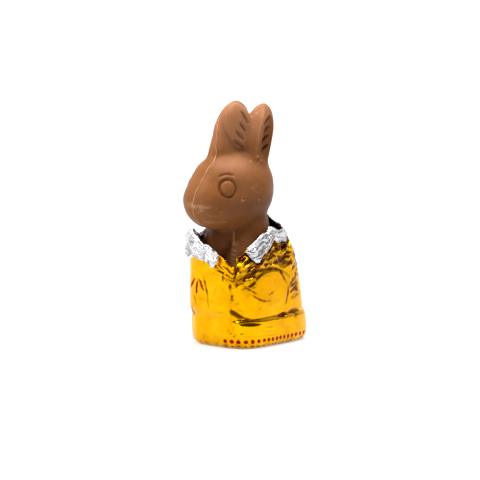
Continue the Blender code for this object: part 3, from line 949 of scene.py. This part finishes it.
def painted_light_on_chocolate(points):
    """Painted light on the chocolate where the number is above 0, painted shade where it is below 0."""
    x, y, z = points.T
    cheek_height, cheek_back = CHEEK
    far_side, far_top = FAR_NECK
    throat_side, throat_top = THROAT
    crown, crown_reach, crown_painted_sheen = CROWN_SHEEN
    painted_light_and_shade = PAD_PAINTED_LIGHT * pad_window(points)
    painted_light_and_shade += HOLLOW_PAINTED_SHADE * hollow_window(points)
    painted_light_and_shade += CHEEK_PAINTED_SHADE * soft_window(z, *cheek_height) * soft_step(y, *cheek_back)
    painted_light_and_shade += JAW_PAINTED_SHADOW * under_jaw_window(points)
    painted_light_and_shade += NECK_PAINTED_SHADE * soft_below(z, *NECK_SHADE_TOP)
    painted_light_and_shade += FAR_NECK_PAINTED_SHADOW * soft_step(-x, *far_side) * soft_below(z, *far_top) * (y < 0)
    painted_light_and_shade += THROAT_PAINTED_SHADE * soft_below(x, *throat_side) * soft_below(z, *throat_top) * (y < 0)
    mirrored = np.column_stack((np.abs(x), y, z))
    painted_light_and_shade += crown_painted_sheen * bell(np.linalg.norm(mirrored - crown, axis=1), crown_reach)
    return painted_light_and_shade


def swelling(points):
    """Slow unevenness of the whole casting."""
    return sum(
        height * math.prod(np.sin(rate * points[:, axis] + phase) for axis, (rate, phase) in enumerate(rates))
        for height, *rates in SWELLS
    )


def build_chocolate():
    """The finished figure, with what its material reads kept per vertex."""
    obj = plain_chocolate()
    points = mesh_points(obj)
    seam, seam_place = seam_relief(points)
    wear_height, painted_pit_and_hollow_shade, rub_and_painted_highlight = wear_and_painted_light(points)
    details = [part(points) for part in (eye_relief, stroke_relief, pad_rim_relief)]
    relief = sum(height for height, _ in details) + seam + wear_height + swelling(points)
    shade = sum(painted_shade for _, painted_shade in details) + painted_pit_and_hollow_shade
    normals = read_vectors(obj.data.vertex_normals, "vector")
    set_points(obj, points + relief[:, None] * normals)
    add_attribute(obj, "groove", np.clip(shade, 0, 1))
    add_attribute(obj, "rub_and_painted_highlight", np.clip(rub_and_painted_highlight, 0, 1))
    add_attribute(obj, "painted_light_and_shade", painted_light_on_chocolate(points))
    add_attribute(obj, "seam", seam_place)
    obj.data.shade_smooth()
    return obj


# Foil wrapper

def facets(rng, rows, across, up):
    """Relief of random flat facets over the foil's grid, about -1 to 1 high.

    across and up are the counts of facets round the foil and along its rows.
    """
    jitter = rng.uniform(-FACET_JITTER, FACET_JITTER, (up + 3, across, 2))
    height = rng.uniform(-1.0, 1.0, (up + 3, across))
    diagonal = rng.random((up + 3, across)) < 0.5
    relief = np.zeros((rows, COLUMNS))

    def corner(i, j):
        """Column, row and height of a facet's corner."""
        wrap = i % across
        u = (i + jitter[j, wrap, 0]) * COLUMNS / across
        v = (j - 1 + jitter[j, wrap, 1]) * rows / up
        return u, v, height[j, wrap]

    for j in range(up + 2):
        for i in range(across):
            a, b, c, d = corner(i, j), corner(i + 1, j), corner(i + 1, j + 1), corner(i, j + 1)
            halves = ((a, b, c), (a, c, d)) if diagonal[j, i] else ((a, b, d), (b, c, d))
            for p, q, r in halves:
                low_u, high_u = math.ceil(min(p[0], q[0], r[0])), math.floor(max(p[0], q[0], r[0]))
                low_v = max(math.ceil(min(p[1], q[1], r[1])), 0)
                high_v = min(math.floor(max(p[1], q[1], r[1])), rows - 1)
                if low_u > high_u or low_v > high_v:
                    continue
                u = np.arange(low_u, high_u + 1)[None, :]
                v = np.arange(low_v, high_v + 1)[:, None]
                area = (q[0] - p[0]) * (r[1] - p[1]) - (r[0] - p[0]) * (q[1] - p[1])
                if abs(area) < 1e-9:
                    continue
                s = ((u - p[0]) * (r[1] - p[1]) - (r[0] - p[0]) * (v - p[1])) / area
                t = ((q[0] - p[0]) * (v - p[1]) - (u - p[0]) * (q[1] - p[1])) / area
                inside = (s >= -1e-6) & (t >= -1e-6) & (s + t <= 1 + 1e-6)
                value = p[2] + s * (q[2] - p[2]) + t * (r[2] - p[2])
                vv, uu = np.nonzero(inside)
                relief[low_v + vv, (low_u + uu) % COLUMNS] = value[vv, uu]
    return relief


def jagged(rng, knots, size):
    """Random broken line round the rim, one value a column."""
    values = rng.uniform(-size, size, knots)
    places = (np.arange(knots) + rng.uniform(-KNOT_JITTER, KNOT_JITTER, knots)) / knots * COLUMNS
    return np.interp(np.arange(COLUMNS), places, values, period=COLUMNS)


def bare_at(turn):
    """1 where the foil is torn off at the rim with no flap folded over, 0 elsewhere."""
    return soft_window(turn, *BARE_FRONT) + soft_window(turn, *BARE_BACK)


def rim_at(angle, rng):
    """Height, flap length, flare and fold radius of the torn rim at the angles."""
    turn = np.degrees(angle)
    turns, heights, flaps, flares = zip(*RIM)
    height = np.interp(turn, turns, heights) + waves(angle, RIM_WAVES) + jagged(rng, *RIM_JAGS)
    flap = np.interp(turn, turns, flaps) * (1.0 + waves(angle, FLAP_WAVES))
    for knots, size in FLAP_JAGS:
        flap = flap + jagged(rng, knots, size)
    tip_turn, tip_width, tip_length = FLAP_TIP
    flap += tip_length * bell(turn - tip_turn, tip_width)
    flare = np.interp(turn, turns, flares) + jagged(rng, *FLARE_JAGS)
    bare = bare_at(turn)
    widening, wide_at = WIDE_FOLD
    fold = FOLD_RADIUS * (1.0 - BARE_FOLD_LOSS * bare + widening * soft_window(turn, *wide_at))
    kept = 1.0 - BARE_SHARE * bare
    return height, np.clip(flap, LEAST_FLAP, None) * kept, np.clip(flare, LEAST_FLARE, None) * kept, fold


def foil_base(turns, rim):
    """Grid of the foil's gold face before it is crumpled, and each point's height and zone."""
    height, flap, flare, fold = rim
    rows, zones = [], []

    def add(radius, z, zone):
        """One more row of the grid, at the radius and height of each column."""
        rows.append(around_axis(turns, radius, z))
        zones.append(zone)

    base = np.zeros_like(turns)
    base_radius = body_radius(turns, base) - BASE_ROUNDING
    for k in range(BOTTOM_ROWS):
        add(base_radius * (MIDDLE_HOLE + (1.0 - MIDDLE_HOLE) * k / BOTTOM_ROWS), base, "bottom")
    for k in range(WALL_ROWS + 1):
        z = height * k / WALL_ROWS
        inset = BASE_ROUNDING * (1.0 - np.clip(z / BASE_CURVE, 0.0, 1.0)) ** 2
        add(body_radius(turns, z) - inset, z, "wall")
    rim_radius = body_radius(turns, height)
    for k in range(1, FOLD_ROWS + 1):
        bend = math.pi * k / (FOLD_ROWS + 1)
        add(rim_radius + fold * (1 - math.cos(bend)), height + fold * math.sin(bend), "fold")
    for k in range(FLAP_ROWS + 1):
        part = k / FLAP_ROWS
        add(rim_radius + 2 * fold + flare * part ** FLARE_CURVE, height - flap * part, "flap")
    return np.array(rows), np.array(zones)


def grid_normals(grid):
    """Normals of the gold face from the grid's own steps."""
    around = np.roll(grid, -1, axis=1) - np.roll(grid, 1, axis=1)
    along = np.gradient(grid, axis=0)
    normals = np.cross(around, along)
    return normals / np.maximum(np.linalg.norm(normals, axis=2, keepdims=True), 1e-9)


def crease_points(line, steps=8):
    """Points in space of a crease given as angles and heights, close enough to lie on the wall."""
    angles, heights = zip(*line)
    places = np.linspace(0, len(line) - 1, (len(line) - 1) * steps + 1)
    angle = np.radians(np.interp(places, range(len(line)), angles))
    z = np.interp(places, range(len(line)), heights)
    return around_axis(angle, body_radius(angle, z), z)


def crease_shape(points, line, width):
    """About 1 along the middle of a crease, less towards its ends, 0 away from it."""
    nearest, place = line_distance(points, line)
    least, power = CREASE_END
    mean, change, rate = CREASE_CHANGE
    taper = np.clip(np.sin(math.pi * place), least, 1.0) ** power
    uneven = mean + change * np.sin(place * (len(line) - 1) * rate + line[0, 2])
    thin = CREASE_THINNEST + (1.0 - CREASE_THINNEST) * taper
    return taper * uneven * bell(nearest, width * thin)


def pressed_in(points):
    """Depth of creases and dents at the points of the wall, and their painted shade."""
    pressed, shade = np.zeros((2, len(points)))
    for depth, width, line in CREASES:
        shape = depth * crease_shape(points, crease_points(line), width)
        pressed += CREASE_PRESS * shape
        shade += CREASE_SHADE * shape
    for turn, height, half_width, half_height, slant, depth in DENTS:
        middle = crease_points(((turn, height), (turn, height)), 1)[0]
        along = np.array((-middle[1], middle[0], 0.0)) / np.hypot(*middle[:2])
        q = points - middle
        u = q @ along
        v = q[:, 2] - slant * u
        near = np.abs(np.cross(q, along)[:, 2]) < DENT_REACH
        dent = depth * np.exp(-(np.hypot(u / half_width, v / half_height) ** 4)) * near
        pressed += DENT_PRESS * dent
        shade += DENT_SHADE * dent
    return pressed, shade


def crumple(grid, zones, turns, rim, rng):
    """Height of folds, facets and creases over the plain foil, and the painted shade there."""
    rows = len(grid)
    z = grid[:, :, 2]
    turn = np.degrees(turns)[None, :]
    bottom, wall, fold, flap = ((zones == zone)[:, None] for zone in ("bottom", "wall", "fold", "flap"))
    large = facets(rng, rows, *LARGE_FACETS)
    middle = facets(rng, rows, *MIDDLE_FACETS)
    small = facets(rng, rows, *SMALL_FACETS)
    upright = facets(rng, rows, *UPRIGHT_FACETS)
    below_rim = rim[0][None, :] - z
    flap_length = rim[1][None, :]

    def mixed(constant, of_large, of_middle, of_small, of_upright=0.0):
        """Sum of a constant and shares of the four kinds of facets."""
        total = constant + of_large * large + of_middle * middle + of_small * small
        return total + of_upright * upright

    def part(turn_window, height_window):
        """1 inside both windows, 0 outside them."""
        return soft_window(turn, *turn_window) * soft_window(z, *height_window)

    shoulder, fan, ledge = part(*SHOULDER), part(*FAN), part(*LEDGE)
    (roll_turn, roll_width), (roll_z, roll_height) = ROLL
    roll = bell(turn - roll_turn, roll_width) * bell(z - roll_z, roll_height)
    hidden = soft_step(np.abs(turn - SHOWN_MIDDLE), *HIDDEN[0]) * soft_step(z, *HIDDEN[1])
    near_rim = soft_below(below_rim, *NEAR_RIM)
    hem = soft_below(z, *HEM)
    shortest, cover_edge, cover_width = COVER
    covered = soft_step(flap_length - below_rim, cover_edge, cover_width) * (flap_length > shortest)
    gap, gap_width, gap_turns = OVERHANG
    overhung = bell(below_rim - flap_length - gap, gap_width) * soft_window(turn, *gap_turns)
    bare = bare_at(turn)
    weight = sum(share * at for share, at in zip(CRUMPLED, (shoulder, fan, hidden, near_rim, ledge)))
    weight = np.clip(weight, 0, 1) * (1.0 - COVERED_CALM * covered)

    relief = wall * (mixed(*PLAIN) + mixed(*ROUGH) * weight - COVERED_DROP * covered)
    relief += wall * roll * mixed(*ROLLED)
    relief += wall * hem * mixed(*HEMMED) * soft_step(z, *HEM_FOOT)
    relief += fold * mixed(*FOLDED) * (1.0 - bare)
    relief -= flap * np.clip(mixed(*FLAPPED), FLAP_SINK, None) * (1.0 - bare)
    pleats = np.abs(np.sin(turns * PLEATS + PLEAT_SWAY[0] * np.sin(turns * PLEAT_SWAY[1])))
    pleats = PLEAT_HEIGHT * pleats + PLEAT_GRAIN * (small + 1.0)
    relief -= bottom * pleats * soft_step(np.hypot(grid[:, :, 0], grid[:, :, 1]), *PLEATED)

    pressed, shade = np.zeros((2, *z.shape))
    on_wall = zones == "wall"
    depths, darks = pressed_in(grid[on_wall].reshape(-1, 3))
    pressed[on_wall] = depths.reshape(-1, COLUMNS)
    shade[on_wall] = darks.reshape(-1, COLUMNS)
    relief -= pressed
    # Painted shade on the crumpled upper parts, the flank, the haunch and the hem
    shaded = (
        (np.clip(shoulder + roll + fan, 0, 1), UPPER_SHADE),
        (part(*FLANK), FLANK_SHADE),
        (haunch_window(grid[:, :, 1], z), HAUNCH_SHADE),
        (HEM_PAINTED_SHADE * hem, HEM_SHADE),
    )
    for window, shares in shaded:
        shade += wall * window * np.clip(mixed(*shares), 0, 1)
    shade += wall * OVERHANG_SHADE * overhung
    shade += (fold | flap) * FAR_EDGE_SHADE * soft_window(turn, *BARE_BACK)
    return relief, np.clip(shade, 0, 1)


def sheet_faces(torn, print_heights):
    """Faces of the sheet's two sides and edge, with each one's material slot and UV corners."""
    rows, columns = print_heights.shape
    layer = rows * columns
    top = layer - columns
    first_flap_row = BOTTOM_ROWS + WALL_ROWS
    faces, slots, uvs = [], [], []

    def add(face, slot, corners):
        """One face with its slot and its UV corners."""
        faces.append(face)
        slots.append(slot)
        uvs.extend(corners)

    def add_plain(face, slot, height):
        """One face without print."""
        add(face, slot, [(0.0, height)] * len(face))

    for c in range(columns):
        d = (c + 1) % columns
        for r in range(rows - 1):
            around = ((r, c, c), (r, d, c + 1), (r + 1, d, c + 1), (r + 1, c, c))
            quad = [row * columns + column for row, column, _ in around]
            corners = [(place * COLUMN_PRINT, print_heights[row, column]) for row, column, place in around]
            inner_slot = 0 if torn[c] and r > first_flap_row else 1
            add(quad, 0, corners)
            add([layer + q for q in reversed(quad)], inner_slot, reversed(corners))
        add_plain((top + c, top + d, layer + top + d, layer + top + c), 0 if torn[c] else 1, ABOVE_PRINT)
        add_plain((2 * layer, d, c), 0, BELOW_PRINT)
        add_plain((2 * layer + 1, layer + c, layer + d), 1, BELOW_PRINT)
    return faces, slots, uvs


def build_foil():
    """Thin closed sheet: gold face, silver face behind it, joined along the torn edge."""
    rng = np.random.default_rng(SEED)
    turns = np.linspace(-math.pi, math.pi, COLUMNS, endpoint=False)
    turn = np.degrees(turns)
    rim = rim_at(turns, rng)
    grid, zones = foil_base(turns, rim)
    relief, shade = crumple(grid, zones, turns, rim, rng)
    on_wall = (zones == "wall")[:, None]
    unprinted = np.where(zones == "bottom", BELOW_PRINT, ABOVE_PRINT)[:, None]
    print_heights = np.where(on_wall, grid[:, :, 2] * PRINT_UNIT, unprinted)
    gold = grid + relief[:, :, None] * grid_normals(grid)
    gold[:, :, 2] = np.maximum(gold[:, :, 2], 0.0)
    silver = gold - SHEET * grid_normals(gold)
    middles = gold[0].mean(axis=0), silver[0].mean(axis=0)
    points = np.concatenate((gold.reshape(-1, 3), silver.reshape(-1, 3), middles))
    torn = soft_window(turn, *BARE_FRONT) > 0.5
    faces, slots, uvs = sheet_faces(torn, print_heights)
    mesh = bpy.data.meshes.new("foil_sheet")
    mesh.from_pydata((points * MM).tolist(), [], faces)
    mesh.polygons.foreach_set("material_index", slots)
    mesh.uv_layers.new(name="wrap").data.foreach_set("uv", np.asarray(uvs, np.float32).ravel())
    obj = put_object("foil_sheet", mesh)
    # Painted shade on the silver inside: full behind the wall, part of it at the torn edge at the back, and
    # the gold's painted shade where the front is torn
    inner = np.where(on_wall, 1.0, FAR_EDGE_SHADE * soft_window(turn, *BARE_BACK))
    inner = np.where(torn, shade, inner)
    add_attribute(obj, "painted_foil_shade", np.concatenate((shade.ravel(), inner.ravel(), (0.0, 0.0))))
    mesh.shade_smooth()
    mesh.set_sharp_from_angle(angle=math.radians(FACE_TURN))
    return obj


# Materials

class Nodes:
    """Short way to add and join the nodes of a material or of the world."""

    def __init__(self, owner):
        owner.use_nodes = True
        self.owner = owner
        self.tree = owner.node_tree

    def add(self, kind, **settings):
        """New node with the given settings."""
        node = self.tree.nodes.new(kind)
        for key, value in settings.items():
            setattr(node, key, value)
        return node

    def feed(self, socket, value):
        """Joins a node's output to the socket, or sets its number, vector or colour of three."""
        if isinstance(value, bpy.types.NodeSocket):
            self.tree.links.new(value, socket)
        else:
            is_colour = isinstance(value, tuple) and socket.type == "RGBA"
            socket.default_value = (*value, 1.0) if is_colour else value

    def math(self, operation, *values):
        """Result of one step of arithmetic."""
        node = self.add("ShaderNodeMath", operation=operation)
        for i, value in enumerate(values):
            self.feed(node.inputs[i], value)
        return node.outputs[0]

    def fill(self, node, **values):
        """Feeds the node's inputs of the given names, where _ stands for a space."""
        for name, value in values.items():
            self.feed(node.inputs[name.replace("_", " ")], value)

    def noise(self, vector, scale, detail=3.0, roughness=0.5):
        """Noise from 0 to 1 with scale features in a metre."""
        node = self.add("ShaderNodeTexNoise")
        self.fill(node, Vector=vector, Scale=scale, Detail=detail, Roughness=roughness)
        return node.outputs["Fac"]

    def ramp(self, value, low, high, start=0.0, end=1.0, kind="LINEAR"):
        """Goes from start to end as the value goes from low to high."""
        node = self.add("ShaderNodeMapRange", interpolation_type=kind)
        self.fill(node, Value=value, From_Min=low, From_Max=high, To_Min=start, To_Max=end)
        return node.outputs["Result"]

    def mix(self, factor, a, b):
        """Colour between a and b."""
        node = self.add("ShaderNodeMix", data_type="RGBA")
        for socket, value in zip((0, 6, 7), (factor, a, b)):
            self.feed(node.inputs[socket], value)
        return node.outputs[2]

    def attribute(self, name):
        """Number kept per vertex."""
        return self.add("ShaderNodeAttribute", attribute_name=name).outputs["Fac"]

    def place(self):
        """Place on the object, in metres."""
        return self.add("ShaderNodeTexCoord").outputs["Object"]

    def stretched(self, scale, turn=(0.0, 0.0, 0.0)):
        """Place on the object, turned and scaled by another number along each axis."""
        node = self.add("ShaderNodeMapping")
        self.fill(node, Vector=self.place(), Scale=scale, Rotation=turn)
        return node.outputs["Vector"]

    def bump(self, height, distance, strength, normal=None):
        """Normal tilted by a height of 0 to 1 times the distance in metres."""
        node = self.add("ShaderNodeBump")
        self.fill(node, Height=height, Distance=distance, Strength=strength)
        if normal is not None:
            self.feed(node.inputs["Normal"], normal)
        return node.outputs["Normal"]

    def finish(self, **sockets):
        """Feeds the material's surface and gives the material."""
        self.fill(self.tree.nodes["Principled BSDF"], **sockets)
        return self.owner


def new_nodes(name):
    """Nodes of a new material."""
    return Nodes(bpy.data.materials.new(name))


# Chocolate: its two tones, then bloom, scratches, painted shade in grooves, pale rubs and painted highlights,
# seam, painted light and painted shade
MILK = ((0.196, 0.070, 0.0200), (0.232, 0.085, 0.0262))
BLOOM = (0.36, 0.165, 0.065)
SCRATCHED = (0.40, 0.22, 0.13)
PAINTED_GROOVE_SHADE = (0.062, 0.017, 0.004)
PALE_RUB_AND_PAINTED_HIGHLIGHT = (0.50, 0.27, 0.15)
SEAM = (0.62, 0.36, 0.21)
PAINTED_LIGHT_COLOUR = (0.47, 0.218, 0.112)
PAINTED_SHADE_COLOUR = (0.06, 0.014, 0.001)

# Directions of the scratches: how the noise is stretched along each axis, and its turn
SCRATCHES = (
    ((110, 120, 1900), (0.5, 0.2, 0.3)),
    ((1800, 140, 120), (0.2, 0.5, 0.9)),
    ((130, 1700, 150), (0.9, 0.1, 0.4)),
)

# Foil: its gold, the brown of its dark stains and painted shade, the red print, the silver inside and its
# painted shade
GOLD = ((0.86, 0.385, 0.0), (0.93, 0.455, 0.001))
STAIN_AND_PAINTED_SHADE = (0.12, 0.032, 0.0)
PRINT_RED = (0.30, 0.008, 0.003)
SILVER = ((0.60, 0.61, 0.64), (0.72, 0.72, 0.74))
SILVER_SHADE = (0.03, 0.016, 0.009)

# Border of dots, by place round the foil and height: spacing, where there is none, then the
# height and half sizes of each row's dots
DOT_SPACING = 2.8
NO_BORDER = (54.0, 75.5)
DOT_ROWS = ((3.5, 0.95, 0.95), (1.2, 0.55, 0.42))

# Leaves at the front: half sizes, then the place round the foil, height and tilt of each
LEAF = (0.55, 3.0)
LEAVES = ((61.6, 28.0, 0.5), (64.0, 26.4, 0.1), (66.4, 28.0, -0.4))


def chocolate_material():
    """Milk chocolate with a dusting of bloom, rubbed edges and fine scratches, and painted light and shade.
    """
    n = new_nodes("milk_chocolate")
    place = n.place()
    color = n.mix(n.ramp(n.noise(place, 75.0, 4.0), 0.35, 0.65), *MILK)
    bloom = n.ramp(n.noise(place, 420.0, 5.0, 0.65), 0.56, 0.72)
    color = n.mix(n.math("MULTIPLY", bloom, 0.28), color, BLOOM)
    scratch = 0.0
    for scale, turn in SCRATCHES:
        line = n.ramp(n.noise(n.stretched(scale, turn), 1.0, 2.0), 0.73, 0.80)
        scratch = n.math("MAXIMUM", scratch, line)
    color = n.mix(n.math("MULTIPLY", scratch, 0.35), color, SCRATCHED)
    # Painted shade in the strokes, eye rings, brows, pad grooves, pits and the hollow beside the chest
    color = n.mix(n.math("MULTIPLY", n.attribute("groove"), 0.92), color, PAINTED_GROOVE_SHADE)
    # Pale rubs and specks, with painted highlights along the chest and ear ridges
    patchy = n.ramp(n.noise(place, 1300.0, 3.0), 0.38, 0.6, 0.35, 1.0)
    color = n.mix(n.math("MULTIPLY", n.attribute("rub_and_painted_highlight"), patchy), color, PALE_RUB_AND_PAINTED_HIGHLIGHT)
    color = n.mix(n.ramp(n.math("ABSOLUTE", n.attribute("seam")), 0.2, 0.06, 0.0, 0.8), color, SEAM)
    # Painted light on the pads, the rear ear's tip and the crown, painted shade on the cheeks, jaw, neck,
    # throat and hollows
    painted_light_and_shade = n.attribute("painted_light_and_shade")
    color = n.mix(n.math("MAXIMUM", painted_light_and_shade, 0.0), color, PAINTED_LIGHT_COLOUR)
    color = n.mix(n.math("MAXIMUM", n.math("MULTIPLY", painted_light_and_shade, -1.0), 0.0), color, PAINTED_SHADE_COLOUR)
    normal = n.bump(n.noise(place, 160.0, 2.0), 0.00012, 0.5)
    normal = n.bump(n.noise(place, 900.0, 4.0, 0.6), 0.00003, 0.5, normal)
    rough = n.ramp(n.noise(place, 210.0, 4.0), 0.3, 0.7, 0.36, 0.5)
    return n.finish(Base_Color=color, Roughness=rough, Normal=normal, IOR=1.46, Specular_IOR_Level=0.1)


def wrapper_motif(n):
    """Generic red border of two rows of dots near the base, and three leaves in front."""
    parts = n.add("ShaderNodeSeparateXYZ")
    n.feed(parts.inputs[0], n.add("ShaderNodeUVMap", uv_map="wrap").outputs[0])
    wobble = n.math("MULTIPLY", n.math("SUBTRACT", n.noise(n.place(), 700.0, 2.0), 0.5), 1.1)
    u, v = (n.math("ADD", n.math("DIVIDE", parts.outputs[i], PRINT_UNIT), wobble) for i in (0, 1))

    def oval(across, along, half_width, half_height):
        """Below 1 inside an oval, above it outside."""
        wide = n.math("POWER", n.math("DIVIDE", across, half_width), 2.0)
        tall = n.math("POWER", n.math("DIVIDE", along, half_height), 2.0)
        return n.math("ADD", wide, tall)

    def turned(across, along, cos, sin):
        """One coordinate of a place turned about the middle."""
        return n.math("ADD", n.math("MULTIPLY", across, cos), n.math("MULTIPLY", along, sin))

    local = n.math("SUBTRACT", n.math("FRACT", n.math("DIVIDE", u, DOT_SPACING)), 0.5)
    local = n.math("MULTIPLY", local, DOT_SPACING)
    mask = 0.0
    for height, half_width, half_height in DOT_ROWS:
        dot = n.ramp(oval(local, n.math("SUBTRACT", v, height), half_width, half_height), 1.15, 0.85)
        mask = n.math("MAXIMUM", mask, dot)
    reach = n.math("MAXIMUM", n.math("GREATER_THAN", u, NO_BORDER[1]), n.math("LESS_THAN", u, NO_BORDER[0]))
    mask = n.math("MULTIPLY", mask, reach)
    for place, height, tilt in LEAVES:
        across, along = n.math("SUBTRACT", u, place), n.math("SUBTRACT", v, height)
        cos, sin = math.cos(tilt), math.sin(tilt)
        leaf = oval(turned(across, along, cos, -sin), turned(across, along, sin, cos), *LEAF)
        mask = n.math("MAXIMUM", mask, n.ramp(leaf, 1.1, 0.9))
    return mask


def gold_material():
    """Lacquered gold side of the foil with its red border."""
    n = new_nodes("gold_foil")
    place = n.place()
    color = n.mix(n.ramp(n.noise(place, 60.0, 3.0), 0.35, 0.65), *GOLD)
    speck = n.ramp(n.noise(place, 1100.0, 3.0), 0.66, 0.74, 0.0, 0.5)
    smudge = n.ramp(n.noise(place, 170.0, 4.0, 0.6), 0.40, 0.70, 0.0, 0.26)
    # Painted shade of creases and crumples, with small dark specks and smudges
    stain_and_painted_shade = n.math("MAXIMUM", n.attribute("painted_foil_shade"), n.math("MAXIMUM", speck, smudge))
    color = n.mix(wrapper_motif(n), n.mix(stain_and_painted_shade, color, STAIN_AND_PAINTED_SHADE), PRINT_RED)
    normal = n.bump(n.noise(place, 330.0, 4.0, 0.6), 0.00010, 0.4)
    normal = n.bump(n.noise(n.stretched((900.0, 900.0, 260.0)), 1.0, 3.0), 0.00004, 0.5, normal)
    swirl = n.noise(n.stretched((260.0, 260.0, 420.0)), 1.0, 2.0)
    wrinkle = n.math("ABSOLUTE", n.math("SUBTRACT", swirl, 0.5))
    normal = n.bump(n.ramp(wrinkle, 0.0, 0.05), 0.00006, 0.12, normal)
    rough = n.ramp(n.noise(place, 240.0, 3.0), 0.3, 0.7, 0.13, 0.25)
    return n.finish(Base_Color=color, Metallic=1.0, Roughness=rough, Normal=normal)


def silver_material():
    """Bare inner side of the foil."""
    n = new_nodes("silver_foil")
    place = n.place()
    normal = n.bump(n.noise(place, 520.0, 4.0, 0.6), 0.00022, 0.7)
    color = n.mix(n.ramp(n.noise(place, 150.0, 3.0), 0.35, 0.65), *SILVER)
    # Painted shade on the silver inside
    color = n.mix(n.attribute("painted_foil_shade"), color, SILVER_SHADE)
    rough = n.ramp(n.noise(place, 300.0, 3.0), 0.3, 0.7, 0.26, 0.42)
    return n.finish(Base_Color=color, Metallic=1.0, Roughness=rough, Normal=normal)


# Scene

# Camera: turn to the rabbit's left and rise, then in metres its distance, the width of what it
# sees at the object, the middle of its picture across and up, and its nearest and farthest place
CAMERA_TURN = math.radians(42.0)
CAMERA_RISE = math.radians(9.0)
CAMERA_DISTANCE = 2.4
PICTURE_WIDTH = 0.216
PICTURE_CENTRE = (-0.0036, 0.045)
CAMERA_CLIP = (0.01, 20.0)

# Radiance of the studio: bright backdrop, dark behind the camera, and the cosines of the angle
# to the camera between which one becomes the other
BACKDROP_GLOW = (0.9, 0.9, 0.9)
CAMERA_GLOW = (0.10, 0.075, 0.05)
DARK_EDGE = (-0.6, 0.3)

# Floor: two distances from its middle and its radiance at each, then half its width and its colour
FLOOR_GLOW = (0.4, 1.2, 0.58, 1.0)
FLOOR_SIZE = 4.0
FLOOR_GREY = (0.3, 0.3, 0.3)
WHITE = (1.0, 1.0, 1.0)

# Softboxes: name, place, size in metres and power in watts, then the place that they light
SOFTBOXES = (
    ("overhead", (0.05, 0.1, 1.25), 1, 29),
    ("side", (-0.30, -0.85, 0.92), 0.9, 14),
)
LIT_PLACE = (0.0, 0.0, 0.06)


def add_floor():
    """Pale plain floor that glows softly."""
    corners = [(FLOOR_SIZE * x, FLOOR_SIZE * y, 0.0) for x, y in ((-1, -1), (1, -1), (1, 1), (-1, 1))]
    mesh = bpy.data.meshes.new("floor")
    mesh.from_pydata(corners, [], [(0, 1, 2, 3)])
    n = new_nodes("floor_paper")
    reach = n.add("ShaderNodeVectorMath", operation="LENGTH")
    n.feed(reach.inputs[0], n.place())
    glow = n.ramp(reach.outputs["Value"], *FLOOR_GLOW)
    n.finish(Base_Color=FLOOR_GREY, Roughness=0.9, Emission_Color=WHITE, Emission_Strength=glow)
    mesh.materials.append(n.owner)
    put_object("floor", mesh)


def aim(obj, place, back):
    """Puts a camera or lamp at the place, its back turned to the given direction."""
    obj.location = place
    obj.rotation_mode = "QUATERNION"
    obj.rotation_quaternion = back.to_track_quat("Z", "Y")


def add_camera():
    """Camera at the photo's angle; gives the direction from the object towards it."""
    turn, rise = CAMERA_TURN, CAMERA_RISE
    right = Vector((math.cos(turn), math.sin(turn), 0.0))
    up = Vector((-math.sin(turn) * math.sin(rise), math.cos(turn) * math.sin(rise), math.cos(rise)))
    back = right.cross(up)
    data = bpy.data.cameras.new("camera")
    data.lens = data.sensor_width * CAMERA_DISTANCE / PICTURE_WIDTH
    data.clip_start, data.clip_end = CAMERA_CLIP
    camera = put_object("camera", data)
    aim(camera, PICTURE_CENTRE[0] * right + PICTURE_CENTRE[1] * up + CAMERA_DISTANCE * back, back)
    bpy.context.scene.camera = camera
    return back


def add_world(back):
    """Studio with a white backdrop, dark behind the camera."""
    world = bpy.data.worlds.new("studio")
    bpy.context.scene.world = world
    n = Nodes(world)
    facing = n.add("ShaderNodeVectorMath", operation="DOT_PRODUCT")
    n.feed(facing.inputs[0], n.add("ShaderNodeTexCoord").outputs["Generated"])
    n.feed(facing.inputs[1], tuple(back))
    dark = n.ramp(facing.outputs["Value"], *DARK_EDGE, kind="SMOOTHSTEP")
    glow = n.mix(dark, BACKDROP_GLOW, CAMERA_GLOW)
    glow = n.mix(n.add("ShaderNodeLightPath").outputs["Is Camera Ray"], glow, WHITE)
    n.feed(n.tree.nodes["Background"].inputs["Color"], glow)


def add_light(name, place, size, power):
    """Round softbox turned to the object."""
    data = bpy.data.lights.new(name, "AREA")
    data.shape = "DISK"
    data.size = size
    data.energy = power
    light = put_object(name, data)
    aim(light, place, Vector(place) - Vector(LIT_PLACE))
    light.visible_camera = False


chocolate = build_chocolate()
chocolate.data.materials.append(chocolate_material())
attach(chocolate, "root")
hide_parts("chocolate_bunny")

foil = build_foil()
foil.data.materials.append(gold_material())
foil.data.materials.append(silver_material())
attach(foil, "root")
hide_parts("foil_wrapper")

add_floor()
toward_camera = add_camera()
add_world(toward_camera)
for softbox in SOFTBOXES:
    add_light(*softbox)
bpy.context.scene.view_settings.view_transform = "Standard"
bpy.context.scene.view_settings.look = "None"
